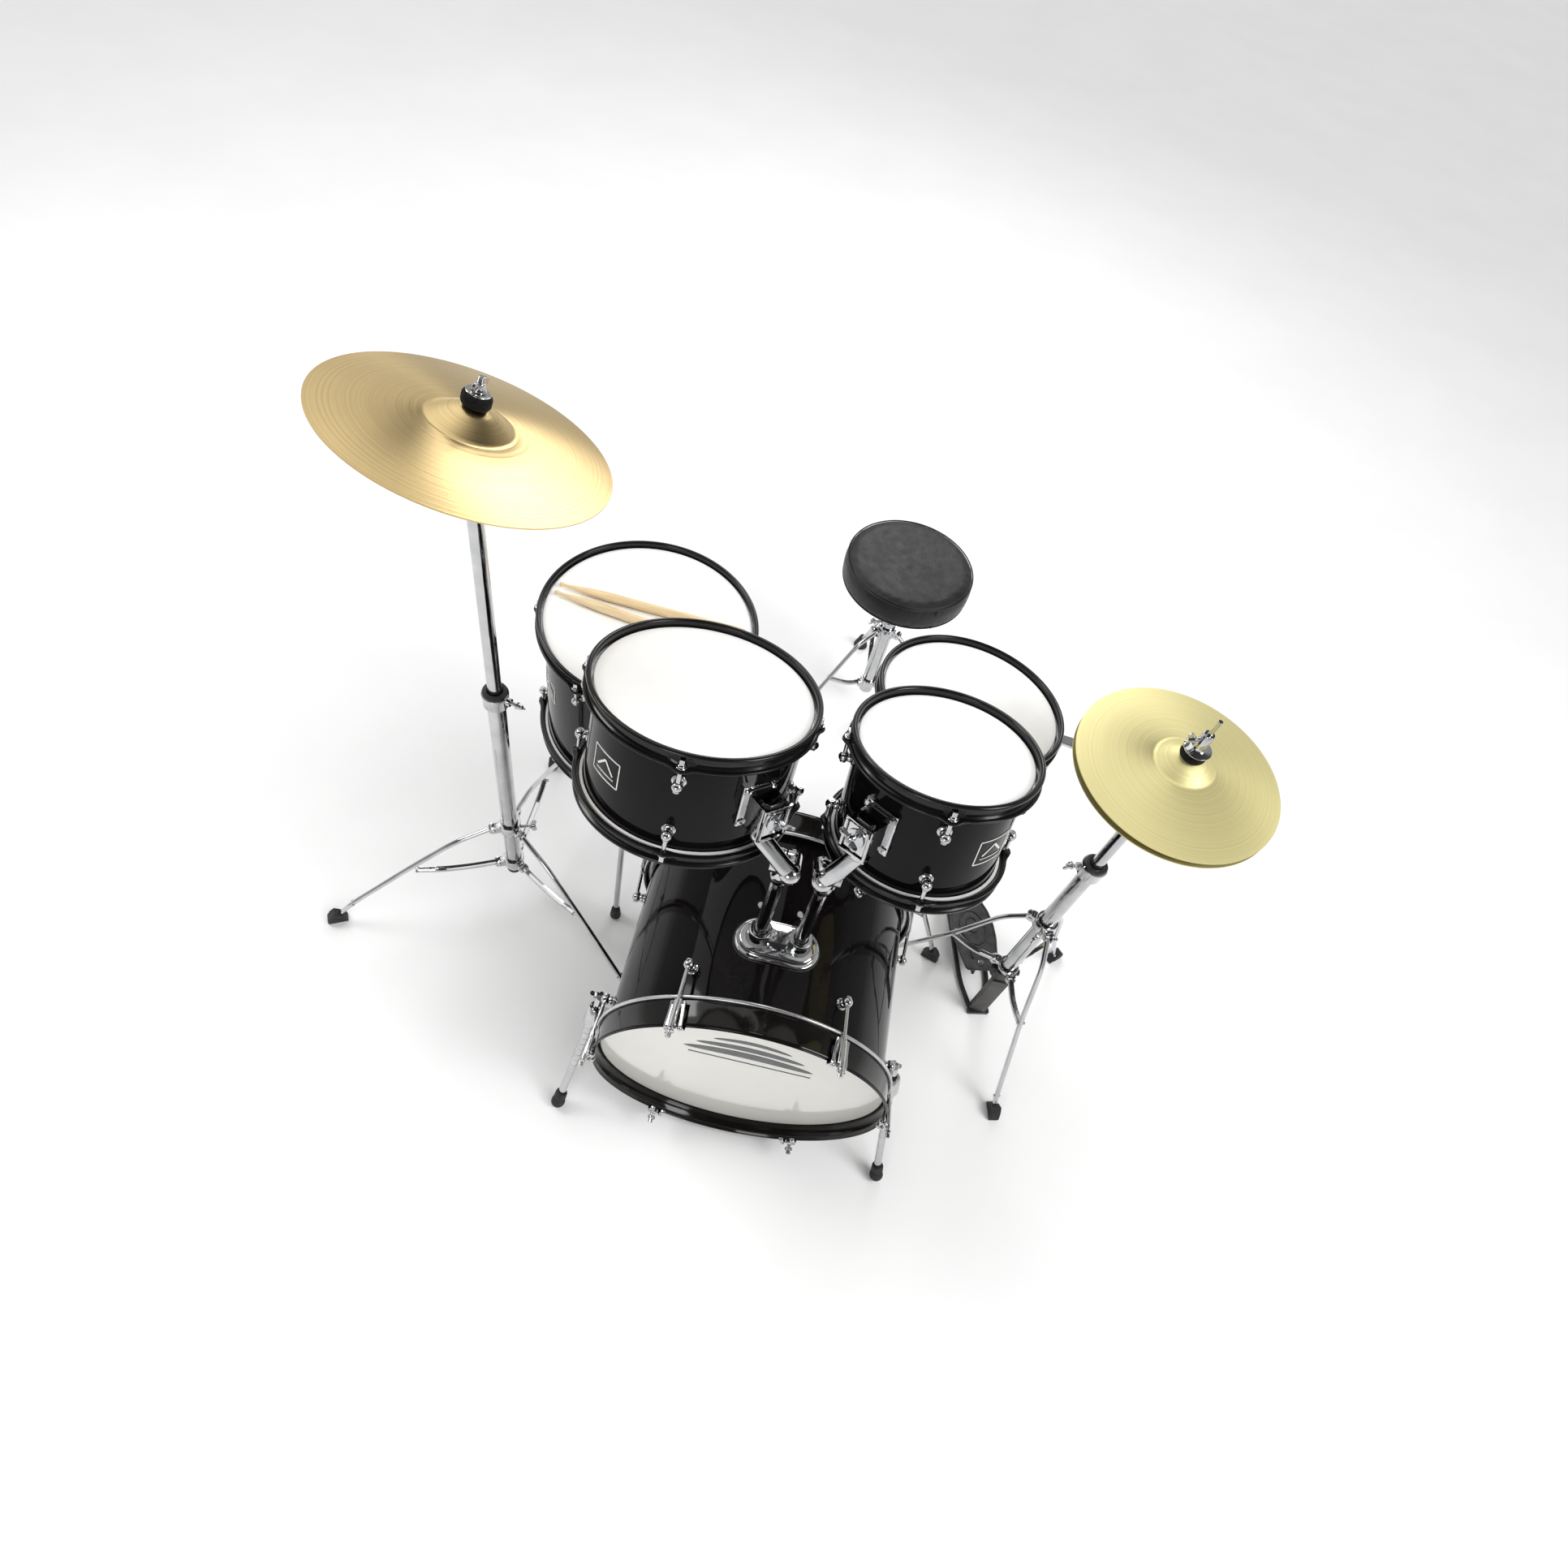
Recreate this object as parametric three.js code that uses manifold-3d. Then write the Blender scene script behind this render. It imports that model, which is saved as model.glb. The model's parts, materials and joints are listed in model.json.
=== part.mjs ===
// A junior five-piece drum kit: bass drum with pedal, two mounted toms, floor tom, snare,
// crash-ride stand, hi-hat stand and throne. Millimetres, +Z up, the audience side is -Y.
// Each drum is built about its own axis with the batter head at z = 0, then set in place.
import * as THREE from 'three';
import { mergeVertices } from 'three/addons/utils/BufferGeometryUtils.js';
import Module from 'manifold-3d';

const wasm = await Module();
wasm.setup();

// ---- driving dimensions ----
const GAP = 0.4; // clearance between pieces that touch
const SLIDE = 0.9; // clearance round a sliding tube
const UP = new THREE.Vector3(0, 0, 1);
const ROUND = 20; // segments round a small drum
const BASS_ROUND = 30; // segments round the bass drum
const CYMBAL_ROUND = 28; // segments round a cymbal
const TUBE_ROUND = 12; // segments round a tube

const BASS = { radius: 203, front: 12, back: 310, height: 232.5, stations: 6, lugInset: 62 };
const HOOP_WIDTH = 44; // bass drum channel hoops
const HOOP_RADIUS = 214.5;
const TOM_1 = { radius: 123, depth: 143, stations: 4, centre: [-160, 243, 774], normal: [0.021, 0.272, 0.962] };
const TOM_2 = { radius: 98, depth: 143, stations: 4, centre: [115, 226, 796], normal: [-0.028, 0.272, 0.962] };
const FLOOR_TOM = { radius: 149, depth: 236, stations: 6, centre: [-285, 519, 560], normal: [0, 0, 1] };
const SNARE = { radius: 123, depth: 104, stations: 4, centre: [184, 460, 623], normal: [0.04, 0.15, 0.988] };
const WALL = 6; // drum shell thickness
const LUG = { inset: 36, radius: 6, reach: 17, rod: 11 }; // ball lugs, from head and shell
const POSTS = { x: [-27, 27], y: 125, bottom: 372, ratchet: 647, radius: 9 };
const CRASH = { x: -450, y: 334, hub: 96, collar: 206, joint: 540, pivot: 955, radius: 152,
  tilt: 19.5, tiltAzimuth: 47.7 };
const CRASH_FEET = { radius: 300, azimuths: [208, 328, 88] };
const HIHAT = { x: 411, y: 318, hub: 150, collar: 332, joint: 505, plane: 742, radius: 129 };
const HIHAT_FEET = { radius: 196, azimuths: [282, 42, 162] };
const THRONE = { x: 107, y: 950, seatTop: 419, seatRadius: 121, seatThickness: 56 };
const THRONE_FEET = { radius: 180, azimuths: [97, 217, 337] };
const SNARE_PIVOT = 452; // height of the basket's tilt pin
const SNARE_FEET = { radius: 150, azimuths: [341, 101, 221] };
const FLOOR_LEGS = [276, 36, 156];
const LEG_FOLD = { rivet: 168, rivetHeight: 120 };

// ---- materials ----
const finish = (color, roughness, metalness) =>
  new THREE.MeshStandardMaterial({ color, roughness, metalness });
const LACQUER = finish(0x0b0a0a, 0.12, 0);
const BLACK_STEEL = finish(0x17161a, 0.32, 0.3);
const CHROME = finish(0xd6d8da, 0.1, 1);
const HEAD_FILM = finish(0xf4f2ee, 0.45, 0);
const BRASS = finish(0xd8bc78, 0.3, 1);
const VINYL = finish(0x1c1c1e, 0.5, 0);
const WOOD = finish(0xdcb77c, 0.45, 0);

// ---- geometry helpers ----
const radians = THREE.MathUtils.degToRad;
const vec = (x, y, z) => new THREE.Vector3(x, y, z);
const polar = (radius, azimuth, z = 0) =>
  vec(radius * Math.cos(radians(azimuth)), radius * Math.sin(radians(azimuth)), z);

function toSolid(geometry) {
  const bare = geometry.clone();
  bare.deleteAttribute('normal');
  bare.deleteAttribute('uv');
  const merged = mergeVertices(bare, 1e-4);
  const corners = merged.index.array;
  const kept = [];
  for (let i = 0; i < corners.length; i += 3) {
    const [a, b, c] = corners.slice(i, i + 3);
    if (a !== b && b !== c && c !== a) kept.push(a, b, c);
  }
  const vertProperties = new Float32Array(merged.attributes.position.array);
  const solid = new wasm.Manifold(
    new wasm.Mesh({ numProp: 3, vertProperties, triVerts: new Uint32Array(kept) }),
  );
  if (solid.volume() > 0) return solid;
  for (let i = 0; i < kept.length; i += 3) kept.splice(i + 1, 2, kept[i + 2], kept[i + 1]);
  return new wasm.Manifold(
    new wasm.Mesh({ numProp: 3, vertProperties, triVerts: new Uint32Array(kept) }),
  );
}

function toGeometry(solid) {
  const out = solid.getMesh();
  const geometry = new THREE.BufferGeometry();
  geometry.setAttribute('position', new THREE.BufferAttribute(out.vertProperties, 3));
  geometry.setIndex(new THREE.BufferAttribute(out.triVerts, 1));
  geometry.computeVertexNormals();
  return geometry;
}

const join = (...pieces) =>
  toGeometry(pieces.flat(Infinity).map(toSolid).reduce((whole, piece) => whole.add(piece)));
const cut = (piece, ...tools) =>
  toGeometry(tools.flat(Infinity).map(toSolid).reduce((left, tool) => left.subtract(tool), toSolid(piece)));

// a turned piece about +Z from [radius, height] pairs
function turned(profile, segments = ROUND) {
  const points = profile.map(([r, h]) => new THREE.Vector2(r, h));
  return new THREE.LatheGeometry(points, segments).rotateX(Math.PI / 2);
}
const ringProfile = (inner, outer, low, high) =>
  [[inner, low], [outer, low], [outer, high], [inner, high], [inner, low]];
const ring = (inner, outer, low, high, segments) =>
  turned(ringProfile(inner, outer, low, high), segments);

function aim(geometry, from, to) {
  const turn = new THREE.Quaternion().setFromUnitVectors(UP, to.clone().sub(from).normalize());
  return geometry.applyQuaternion(turn).translate(from.x, from.y, from.z);
}

function rod(from, to, radius, segments = 8) {
  const length = from.distanceTo(to);
  const upright = new THREE.CylinderGeometry(radius, radius, length, segments)
    .rotateX(Math.PI / 2).translate(0, 0, length / 2);
  return aim(upright, from, to);
}

// a bar bent in smooth curves through its points
function bentRod(points, radius, steps = 6, sides = 6) {
  const outline = new THREE.Shape(stationAngles(sides, 0).map((a) => {
    const corner = polar(radius, a);
    return new THREE.Vector2(corner.x, corner.y);
  }));
  const extrudePath = new THREE.CatmullRomCurve3(points, false, 'catmullrom', 0.2);
  return new THREE.ExtrudeGeometry(outline, { steps, extrudePath, bevelEnabled: false });
}

function ball(centre, radius, around = 8, up = 4) {
  return new THREE.SphereGeometry(radius, around, up)
    .rotateX(Math.PI / 2).translate(centre.x, centre.y, centre.z);
}

function block(sizeX, sizeY, sizeZ, centre) {
  return new THREE.BoxGeometry(sizeX, sizeY, sizeZ).translate(centre.x, centre.y, centre.z);
}

function wingScrew(from, direction, length, wing) {
  const along = direction.clone().normalize();
  const tip = from.clone().addScaledVector(along, length);
  const wings = new THREE.BoxGeometry(wing * 2, 3, 9);
  return [rod(from, tip, 3, 8), aim(wings, tip.clone().addScaledVector(along, -3), tip)];
}

function addMesh(parent, name, geometry, material) {
  const mesh = new THREE.Mesh(geometry, material);
  mesh.name = name;
  parent.add(mesh);
  return mesh;
}

// ---- drum pieces, batter head at z = 0, shell below ----
const stationAngles = (count, first) =>
  Array.from({ length: count }, (_, i) => first + (360 * i) / count);

function lug(radius, azimuth, z) {
  return rod(polar(radius - 3, azimuth, z), polar(radius + LUG.reach, azimuth, z), LUG.radius, 5);
}

function shellBody({ radius, depth }, angles) {
  const tube = ring(radius - WALL, radius, GAP - depth, -GAP);
  const lugs = angles.map((a) => [lug(radius, a, -LUG.inset), lug(radius, a, LUG.inset - depth)]);
  return [tube, lugs];
}

// flanged hoop over the head's collar, with its tension rods
function hoopBody({ radius }, angles) {
  const wall = turned([
    [radius + 4.4, -9], [radius + 11, -9], [radius + 11, -6], [radius + 7.6, -6],
    [radius + 7.6, 9], [radius + 4.4, 9], [radius + 4.4, -9],
  ]);
  const rods = angles.map((a) => rod(polar(radius + LUG.rod, a, LUG.radius + 0.6 - LUG.inset),
    polar(radius + LUG.rod, a, 2), 3, 5));
  return [wall, rods];
}

function headBody({ radius }, rim = radius + 3.8) {
  return turned([[0, 0], [radius + 0.8, 0], [radius + 0.8, -8], [rim, -8], [rim, -0.5], [radius + 2, 1], [0, 1]]);
}

function placed(parent, centre, normal) {
  const group = new THREE.Group();
  group.position.set(...centre);
  group.quaternion.setFromUnitVectors(UP, vec(...normal).normalize());
  parent.add(group);
  return group;
}

function drum(parent, name, size, first, extras = []) {
  const group = placed(parent, size.centre, size.normal);
  const angles = stationAngles(size.stations, first);
  addMesh(group, `${name}_shell`, join(shellBody(size, angles), extras), LACQUER);
  addMesh(group, `${name}_hoop_top`, join(hoopBody(size, angles)), BLACK_STEEL);
  const lowerFilm = headBody(size, size.radius + 5); // reaches the hoop, so the two are one piece
  const lower = join(hoopBody(size, angles.map((a) => -a)), lowerFilm).rotateX(Math.PI);
  addMesh(group, `${name}_hoop_bottom`, lower.translate(0, 0, -size.depth), BLACK_STEEL);
  addMesh(group, `${name}_head`, join(headBody(size)), HEAD_FILM);
  return group;
}

// ---- mounted toms with their bracket, arm and post ----
const BRACKET = { low: -86, high: -44, width: 34, reach: 32, socket: 20, rodRadius: 5 };

function tomBracket({ radius }, azimuth) {
  const out = radius - 2 + (BRACKET.reach + 2) / 2;
  const height = BRACKET.high - BRACKET.low;
  const body = new THREE.BoxGeometry(BRACKET.reach + 2, BRACKET.width, height)
    .translate(out, 0, (BRACKET.high + BRACKET.low) / 2).rotateZ(radians(azimuth));
  const socket = polar(radius + BRACKET.socket, azimuth);
  const hole = rod(socket.clone().setZ(BRACKET.low - 5), socket.clone().setZ(BRACKET.low + 30),
    BRACKET.rodRadius + SLIDE, 10);
  const screw = wingScrew(polar(radius + BRACKET.reach - 1, azimuth, -60),
    polar(1, azimuth), 18, 10);
  return [cut(join(body, screw), hole)];
}

function mountedTom(parent, name, size, first, azimuth, postX) {
  drum(parent, name, size, first, tomBracket(size, azimuth));
  const frame = placed(new THREE.Group(), size.centre, size.normal);
  frame.updateMatrixWorld();
  const at = (z) => polar(size.radius + BRACKET.socket, azimuth, z).applyMatrix4(frame.matrixWorld);
  const pivot = vec(postX, POSTS.y, POSTS.ratchet);
  const side = Math.sign(size.centre[0]);
  const face = pivot.clone().add(vec(side * 1, 0, 0));
  const forward = face.clone().add(vec(side * 7, -24, 16));
  const elbow = at(BRACKET.low - 10);
  addMesh(parent, `${name}_arm`, join(
    rod(face, face.clone().add(vec(side * 15, 0, 0)), 14, 12),
    rod(face.clone().add(vec(side * 7, 0, 0)), forward, 6.5), ball(forward, 6.8),
    rod(forward, elbow, 6.5), ball(elbow, 6.8),
    rod(elbow, at(BRACKET.low + 28), BRACKET.rodRadius),
  ), CHROME);
  const inner = pivot.clone().add(vec(-side * 13, 0, 0));
  addMesh(parent, `${name}_post`, join(
    rod(vec(postX, POSTS.y, POSTS.bottom), pivot.clone().setZ(POSTS.ratchet - 22), POSTS.radius, 12),
    rod(pivot.clone().setZ(POSTS.ratchet - 40), pivot.clone().setZ(POSTS.ratchet - 15), 11, 12),
    rod(inner, inner.clone().add(vec(side * 13.5, 0, 0)), 14, 12),
    block(12, 20, 16, vec(postX - side * 6.5, POSTS.y, POSTS.ratchet - 14)),
  ), CHROME);
}

// ---- bass drum, axis along Y ----
const alongY = (geometry) => geometry.rotateX(-Math.PI / 2).translate(0, 0, BASS.height);
const bassAngles = stationAngles(BASS.stations, 0);

// radius and height profiles below run along +Y once turned by alongY
function bassShell() {
  const tube = ring(BASS.radius - 7, BASS.radius, BASS.front + GAP, BASS.back - GAP, BASS_ROUND);
  const lugs = bassAngles.flatMap((a) => [
    lug(BASS.radius, a, BASS.front + BASS.lugInset),
    lug(BASS.radius, a, BASS.back - BASS.lugInset),
  ]);
  const shell = alongY(join(tube, lugs));
  const spurBrackets = [-1, 1].map((side) => {
    const { from, to } = spurLine(side);
    const along = to.clone().sub(from).normalize();
    const middle = from.clone().addScaledVector(along, 34);
    const sleeve = aim(ring(6 + SLIDE, 12, -16, 16, 12), middle, middle.clone().add(along));
    const arm = block(40, 22, 22, middle.clone().add(vec(-side * 25, 0, 0)));
    const bore = rod(from, to, 6 + SLIDE, 12);
    return cut(join(sleeve, arm), bore);
  });
  return cut(join(shell, spurBrackets), postBores());
}

// the tom posts drop through the crown into the bass drum
const postBores = () => POSTS.x.map((x) =>
  rod(vec(x, POSTS.y, POSTS.bottom - 12), vec(x, POSTS.y, POSTS.ratchet), POSTS.radius + SLIDE, 12));

// spurs run from beside the shell, out and down to a rubber tip on the floor
function spurLine(side) {
  return { from: vec(side * 226, 80, 216), to: vec(side * 262, -22, 9) };
}

function spur(side) {
  const { from, to } = spurLine(side);
  const along = to.clone().sub(from).normalize();
  const tip = to.clone().setZ(11);
  return join(rod(from, to, 6, 12), rod(tip.clone().addScaledVector(along, -16), tip, 10, 8),
    ball(tip, 11, 8, 4));
}

function bassHoop(edge, inward) {
  const lip = (h) => edge + inward * h;
  const wall = turned([
    [HOOP_RADIUS - 3.5, lip(0)], [HOOP_RADIUS, lip(0)], [HOOP_RADIUS, lip(HOOP_WIDTH)],
    [HOOP_RADIUS - 3.5, lip(HOOP_WIDTH)], [HOOP_RADIUS - 3.5, lip(0)],
  ], BASS_ROUND);
  const lugAt = BASS.lugInset + (inward > 0 ? BASS.front - edge : edge - BASS.back);
  const claws = bassAngles.map((a) => {
    const bar = (low, high, inner, outer, width) =>
      new THREE.BoxGeometry(outer - inner, width, high - low)
        .translate((outer + inner) / 2, 0, lip((low + high) / 2)).rotateZ(radians(a));
    const rodAt = BASS.radius + LUG.rod + 2;
    return [
      bar(-3, HOOP_WIDTH - 4, HOOP_RADIUS - 2, HOOP_RADIUS + 4, 22),
      bar(-3, 1, HOOP_RADIUS - 7, HOOP_RADIUS + 2, 22),
      rod(polar(HOOP_RADIUS + 5, a, lip(-14)), polar(rodAt, a, lip(lugAt - LUG.radius - 0.6)), 3, 6),
    ];
  });
  return alongY(join(wall, claws));
}

// film head whose collar sits between the shell edge and the hoop wall
function bassHead(plane, inward) {
  const skin = (h) => plane + inward * h;
  return alongY(join(turned([
    [0, skin(0)], [BASS.radius + 1, skin(0)], [BASS.radius + 1, skin(9)],
    [BASS.radius + 7, skin(9)], [BASS.radius + 7, skin(-0.5)],
    [BASS.radius + 4, skin(-1.2)], [0, skin(-1.2)],
  ], BASS_ROUND)));
}

// oblong plate on the shell's crown with two post receivers
function tomMountPlate() {
  const crown = BASS.height + BASS.radius;
  const receivers = POSTS.x.flatMap((x) => [
    rod(vec(x, POSTS.y, crown - 2), vec(x, POSTS.y, crown + 34), 15, 12),
    wingScrew(vec(x, POSTS.y + 12, crown + 24), vec(0, 1, 0.2), 24, 9),
  ]);
  const plate = new THREE.Shape();
  plate.absarc(POSTS.x[0], 0, 27, Math.PI / 2, 1.5 * Math.PI);
  plate.absarc(POSTS.x[1], 0, 27, -Math.PI / 2, Math.PI / 2);
  const base = new THREE.ExtrudeGeometry(plate, { depth: 16, bevelEnabled: false, curveSegments: 8 })
    .translate(0, POSTS.y, crown - 8);
  const clear = BASS.radius + GAP;
  const shellOuter = alongY(turned([[0, 0], [clear, 0], [clear, 330], [0, 330]], BASS_ROUND));
  return cut(join(base, receivers), shellOuter, postBores());
}

// ---- bass pedal behind the batter head ----
const PEDAL = { front: 342, heel: 590, axle: 128, toe: 62, hinge: 22, width: 76, stroke: 18.5 };

function addBassPedal(parent) {
  const { front, heel, axle } = PEDAL;
  const towers = [-36, 36].map((x) => block(8, 22, axle + 6, vec(x, front + 12, (axle + 6) / 2)));
  const frame = join(
    towers, block(80, 26, 6, vec(0, front + 12, 3)),
    block(40, heel - front - 30, 5, vec(0, (front + heel) / 2, 2.5)),
    block(78, 64, 14, vec(0, heel + 6, 7)),
    block(34, 26, 10, vec(0, front + 2, 5)),
  );
  const seats = rod(vec(-60, front + 12, axle), vec(60, front + 12, axle), 5 + SLIDE, 12);
  addMesh(parent, 'bass_pedal_frame', cut(frame, seats), BLACK_STEEL);
  const board = new THREE.Shape();
  board.moveTo(-24, 0);
  board.lineTo(24, 0);
  board.lineTo(PEDAL.width / 2, 70);
  board.lineTo(36, 196);
  board.lineTo(-36, 196);
  board.lineTo(-PEDAL.width / 2, 70);
  const tilt = Math.atan2(PEDAL.toe - PEDAL.hinge, 196);
  const plate = new THREE.ExtrudeGeometry(board, { depth: 6, bevelEnabled: false })
    .translate(0, -196, 0).rotateX(-tilt).translate(0, heel - 26, PEDAL.hinge + 2);
  addMesh(parent, 'bass_pedal_footboard', join(plate), BLACK_STEEL);
  const shaft = vec(0, front + 12, axle);
  const tip = vec(0, front + 30, axle + 128);
  const facing = vec(0, -Math.cos(radians(PEDAL.stroke)), Math.sin(radians(PEDAL.stroke)));
  addMesh(parent, 'bass_pedal_beater', join(
    rod(vec(-45, shaft.y, axle), vec(45, shaft.y, axle), 5, 12),
    rod(vec(-12, shaft.y, axle), vec(12, shaft.y, axle), 15, 12),
    rod(shaft, tip, 4, 8),
    rod(tip.clone().addScaledVector(facing, 18), tip.clone().addScaledVector(facing, -16), 22, 12),
  ), CHROME);
}

// ---- folding tripod parts ----
function pointedFoot(at, azimuth) {
  const shape = new THREE.Shape();
  shape.moveTo(-16, 0);
  shape.lineTo(14, 0);
  shape.lineTo(14, 8);
  shape.lineTo(2, 26);
  shape.lineTo(-12, 12);
  return new THREE.ExtrudeGeometry(shape, { depth: 16, bevelEnabled: false })
    .translate(0, 0, -8).rotateX(Math.PI / 2).rotateZ(radians(azimuth))
    .translate(at.x, at.y, at.z);
}

// leg points in its own upright plane: [distance from the tube axis, height]
function legPoints(stand, pairs, azimuth) {
  return pairs.map(([r, z]) => polar(r, azimuth, z).add(vec(stand.x, stand.y, 0)));
}

function legBody(stand, feet, azimuth, pairs, lift = 0) {
  const points = legPoints(stand, [...pairs, [feet.radius - 2, 14 + lift]], azimuth);
  const foot = polar(feet.radius, azimuth, lift).add(vec(stand.x, stand.y, 0));
  return [bentRod(points, 4, 7), pointedFoot(foot, azimuth)];
}

function collarBody(stand, z, feet, earLength, tubeRadius) {
  const centre = vec(stand.x, stand.y, z);
  const sleeve = ring(tubeRadius + SLIDE, tubeRadius + 6, -11, 11, TUBE_ROUND).translate(stand.x, stand.y, z);
  const ears = feet.azimuths.map((a) => {
    const ear = [-5.5, 5.5].map((offset) => new THREE.BoxGeometry(earLength, 3, 15)
      .translate(tubeRadius + 3 + earLength / 2, offset, 0));
    return [...ear, new THREE.BoxGeometry(5, 14, 15).translate(tubeRadius + 5, 0, 0)]
      .map((piece) => piece.rotateZ(radians(a)).translate(centre.x, centre.y, centre.z));
  }).flat();
  return [sleeve, ...ears];
}

// ---- crash-ride stand ----
function addCrashStand(parent) {
  const { x, y, hub, collar, joint, pivot } = CRASH;
  const tube = ring(10.5 + SLIDE, 12.7, 70, joint, TUBE_ROUND).translate(x, y, 0);
  const hubBody = collarBody(CRASH, hub, CRASH_FEET, 16, 11);
  const clampRing = ring(10.5 + SLIDE, 18, joint - 12, joint + 14, TUBE_ROUND).translate(x, y, 0);
  const clampScrew = wingScrew(vec(x + 16, y, joint), vec(1, -0.2, 0), 20, 10);
  addMesh(parent, 'crash_base_tube', join(tube, hubBody, clampRing, clampScrew), CHROME);
  addMesh(parent, 'crash_leg_collar', join(collarBody(CRASH, collar, CRASH_FEET, 20, 12.9),
    wingScrew(vec(x + 17, y + 3, collar), vec(0.9, 0.35, 0), 20, 10)), CHROME);
  CRASH_FEET.azimuths.forEach((azimuth, i) => {
    const leg = legBody(CRASH, CRASH_FEET, azimuth,
      [[34, collar], [92, 182], [LEG_FOLD.rivet, LEG_FOLD.rivetHeight + 6], [268, 46]], 0.5);
    addMesh(parent, `crash_leg_${i + 1}`, join(leg), CHROME);
    const brace = bentRod(legPoints(CRASH,
      [[26, hub], [118, LEG_FOLD.rivetHeight - 14], [LEG_FOLD.rivet - 16, LEG_FOLD.rivetHeight - 2]], azimuth), 3.2, 5);
    addMesh(parent, `crash_brace_${i + 1}`, join(brace), CHROME);
  });
  const turnedToTilt = new THREE.Group();
  turnedToTilt.position.set(x, y, 0);
  turnedToTilt.rotation.z = radians(CRASH.tiltAzimuth);
  parent.add(turnedToTilt);
  const top = pivot - 24;
  addMesh(turnedToTilt, 'crash_upper_tube', join(
    rod(vec(0, 0, joint - 150), vec(0, 0, top), 10.2, TUBE_ROUND),
    block(16, 7.5, 34, vec(0, -3.75, top + 14)),
    rod(vec(0, -7.5, pivot), vec(0, 0, pivot), 12, 12),
  ), CHROME);
  addTilterAndCymbal(turnedToTilt, pivot);
}

// the cymbal is held between two felts on a rod square to its rim plane
const CYMBAL = { hole: 6, bellRadius: 44, bellHeight: 34, bowHeight: 15, thickness: 1.4 };

function cymbalBody(radius) {
  const { hole, bellRadius, bellHeight, bowHeight, thickness } = CYMBAL;
  const bell = bellRadius * (radius / 152);
  const bellTop = bowHeight + (bellHeight - bowHeight) * (radius / 152);
  const upper = [[hole, bellTop], [bell * 0.45, bellTop - 3], [bell, bowHeight], [radius, 0]];
  const lower = upper.map(([r, z]) => [r, z - thickness]).reverse();
  return turned([...upper, ...lower, upper[0]], CYMBAL_ROUND);
}

function addTilterAndCymbal(parent, pivot) {
  const group = new THREE.Group();
  group.position.z = pivot;
  group.rotation.y = radians(CRASH.tilt);
  parent.add(group);
  const top = CYMBAL.bellHeight;
  const lift = 6; // rim plane above the pivot
  addMesh(group, 'crash_tilter', join(
    rod(vec(0, GAP, 0), vec(0, 9, 0), 12, 12), rod(vec(0, 8, 0), vec(0, 16, 0), 5, 6),
    block(14, 9, 12, vec(0, 5, 15)), rod(vec(0, 0, 14), vec(0, 0, lift + top + 32), 4),
    rod(vec(0, 0, lift + top - 18), vec(0, 0, lift + top - 2.6), 9, 10),
    rod(vec(0, 0, lift + top + GAP), vec(0, 0, lift + top + 12), 15, 12),
    rod(vec(0, 0, lift + top + 11), vec(0, 0, lift + top + 22), 8, 12),
    block(32, 4, 9, vec(0, 0, lift + top + 24)),
  ), CHROME);
  addMesh(group, 'crash_cymbal', join(cymbalBody(CRASH.radius)).translate(0, 0, lift), BRASS);
}

// ---- hi-hat stand with its pedal ----
const FOOTBOARD = { yaw: 12, heel: 250, hingeHeight: 20, toeHeight: 52 };

function addHihatStand(parent) {
  const { x, y, hub, collar, joint, plane } = HIHAT;
  const tube = ring(9.5 + SLIDE, 12.7, hub - 20, joint, TUBE_ROUND).translate(x, y, 0);
  const clampRing = ring(9.5 + SLIDE, 19, joint - 14, joint + 12, TUBE_ROUND).translate(x, y, 0);
  const hubBlock = cut(join(block(34, 34, 34, vec(x, y, hub - 4))),
    rod(vec(x, y, 0), vec(x, y, 400), 9.5 + GAP, 12));
  const posts = block(26, 5, hub - 12, vec(x, y - 17, (hub - 12) / 2));
  const yaw = radians(FOOTBOARD.yaw);
  const rails = [-1, 1].map((side) => bentRod([
    vec(side * 14, -14, 4), vec(side * 26, 40, 4), vec(side * 30, FOOTBOARD.heel, 4)], 4, 5));
  const heelPlate = block(74, 54, 10, vec(0, FOOTBOARD.heel + 8, 5));
  const base = [...rails, heelPlate, block(34, 10, 8, vec(0, -16, 4))]
    .map((piece) => piece.rotateZ(yaw).translate(x, y, 0));
  addMesh(parent, 'hihat_base', join(tube, clampRing, hubBlock, posts, base,
    wingScrew(vec(x - 17, y, joint), vec(-1, -0.3, 0.1), 20, 9)), CHROME);
  const legs = HIHAT_FEET.azimuths.flatMap((azimuth) => [
    ...legBody(HIHAT, HIHAT_FEET, azimuth, [[22, collar], [58, 292], [104, 178], [182, 26]]),
    bentRod(legPoints(HIHAT, [[22, hub + 18], [60, 160], [108, 172]], azimuth), 3.2, 5),
  ]);
  const collarRing = ring(12.7 + SLIDE, 20, collar - 11, collar + 11, TUBE_ROUND).translate(x, y, 0);
  const hubRing = ring(12.7 + SLIDE, 25, hub + 14, hub + 22, TUBE_ROUND).translate(x, y, 0);
  addMesh(parent, 'hihat_tripod', join(collarRing, hubRing, legs,
    wingScrew(vec(x - 2, y - 17, collar), vec(-0.6, -0.8, 0.5), 24, 9)), CHROME);
  const seat = plane - 34;
  addMesh(parent, 'hihat_upper_tube', cut(join(
    ring(4.5, 9.2, joint - 120, seat, TUBE_ROUND).translate(x, y, 0),
    turned([[4.5, seat - 14], [16, seat - 2], [19, seat], [4.5, seat], [4.5, seat - 14]], 10).translate(x, y, 0)),
    rod(vec(x, y, 0), vec(x, y, 900), 3 + GAP, 12)), CHROME);
  addHihatCymbals(parent, seat);
  addFootboard(parent, yaw);
}

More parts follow.
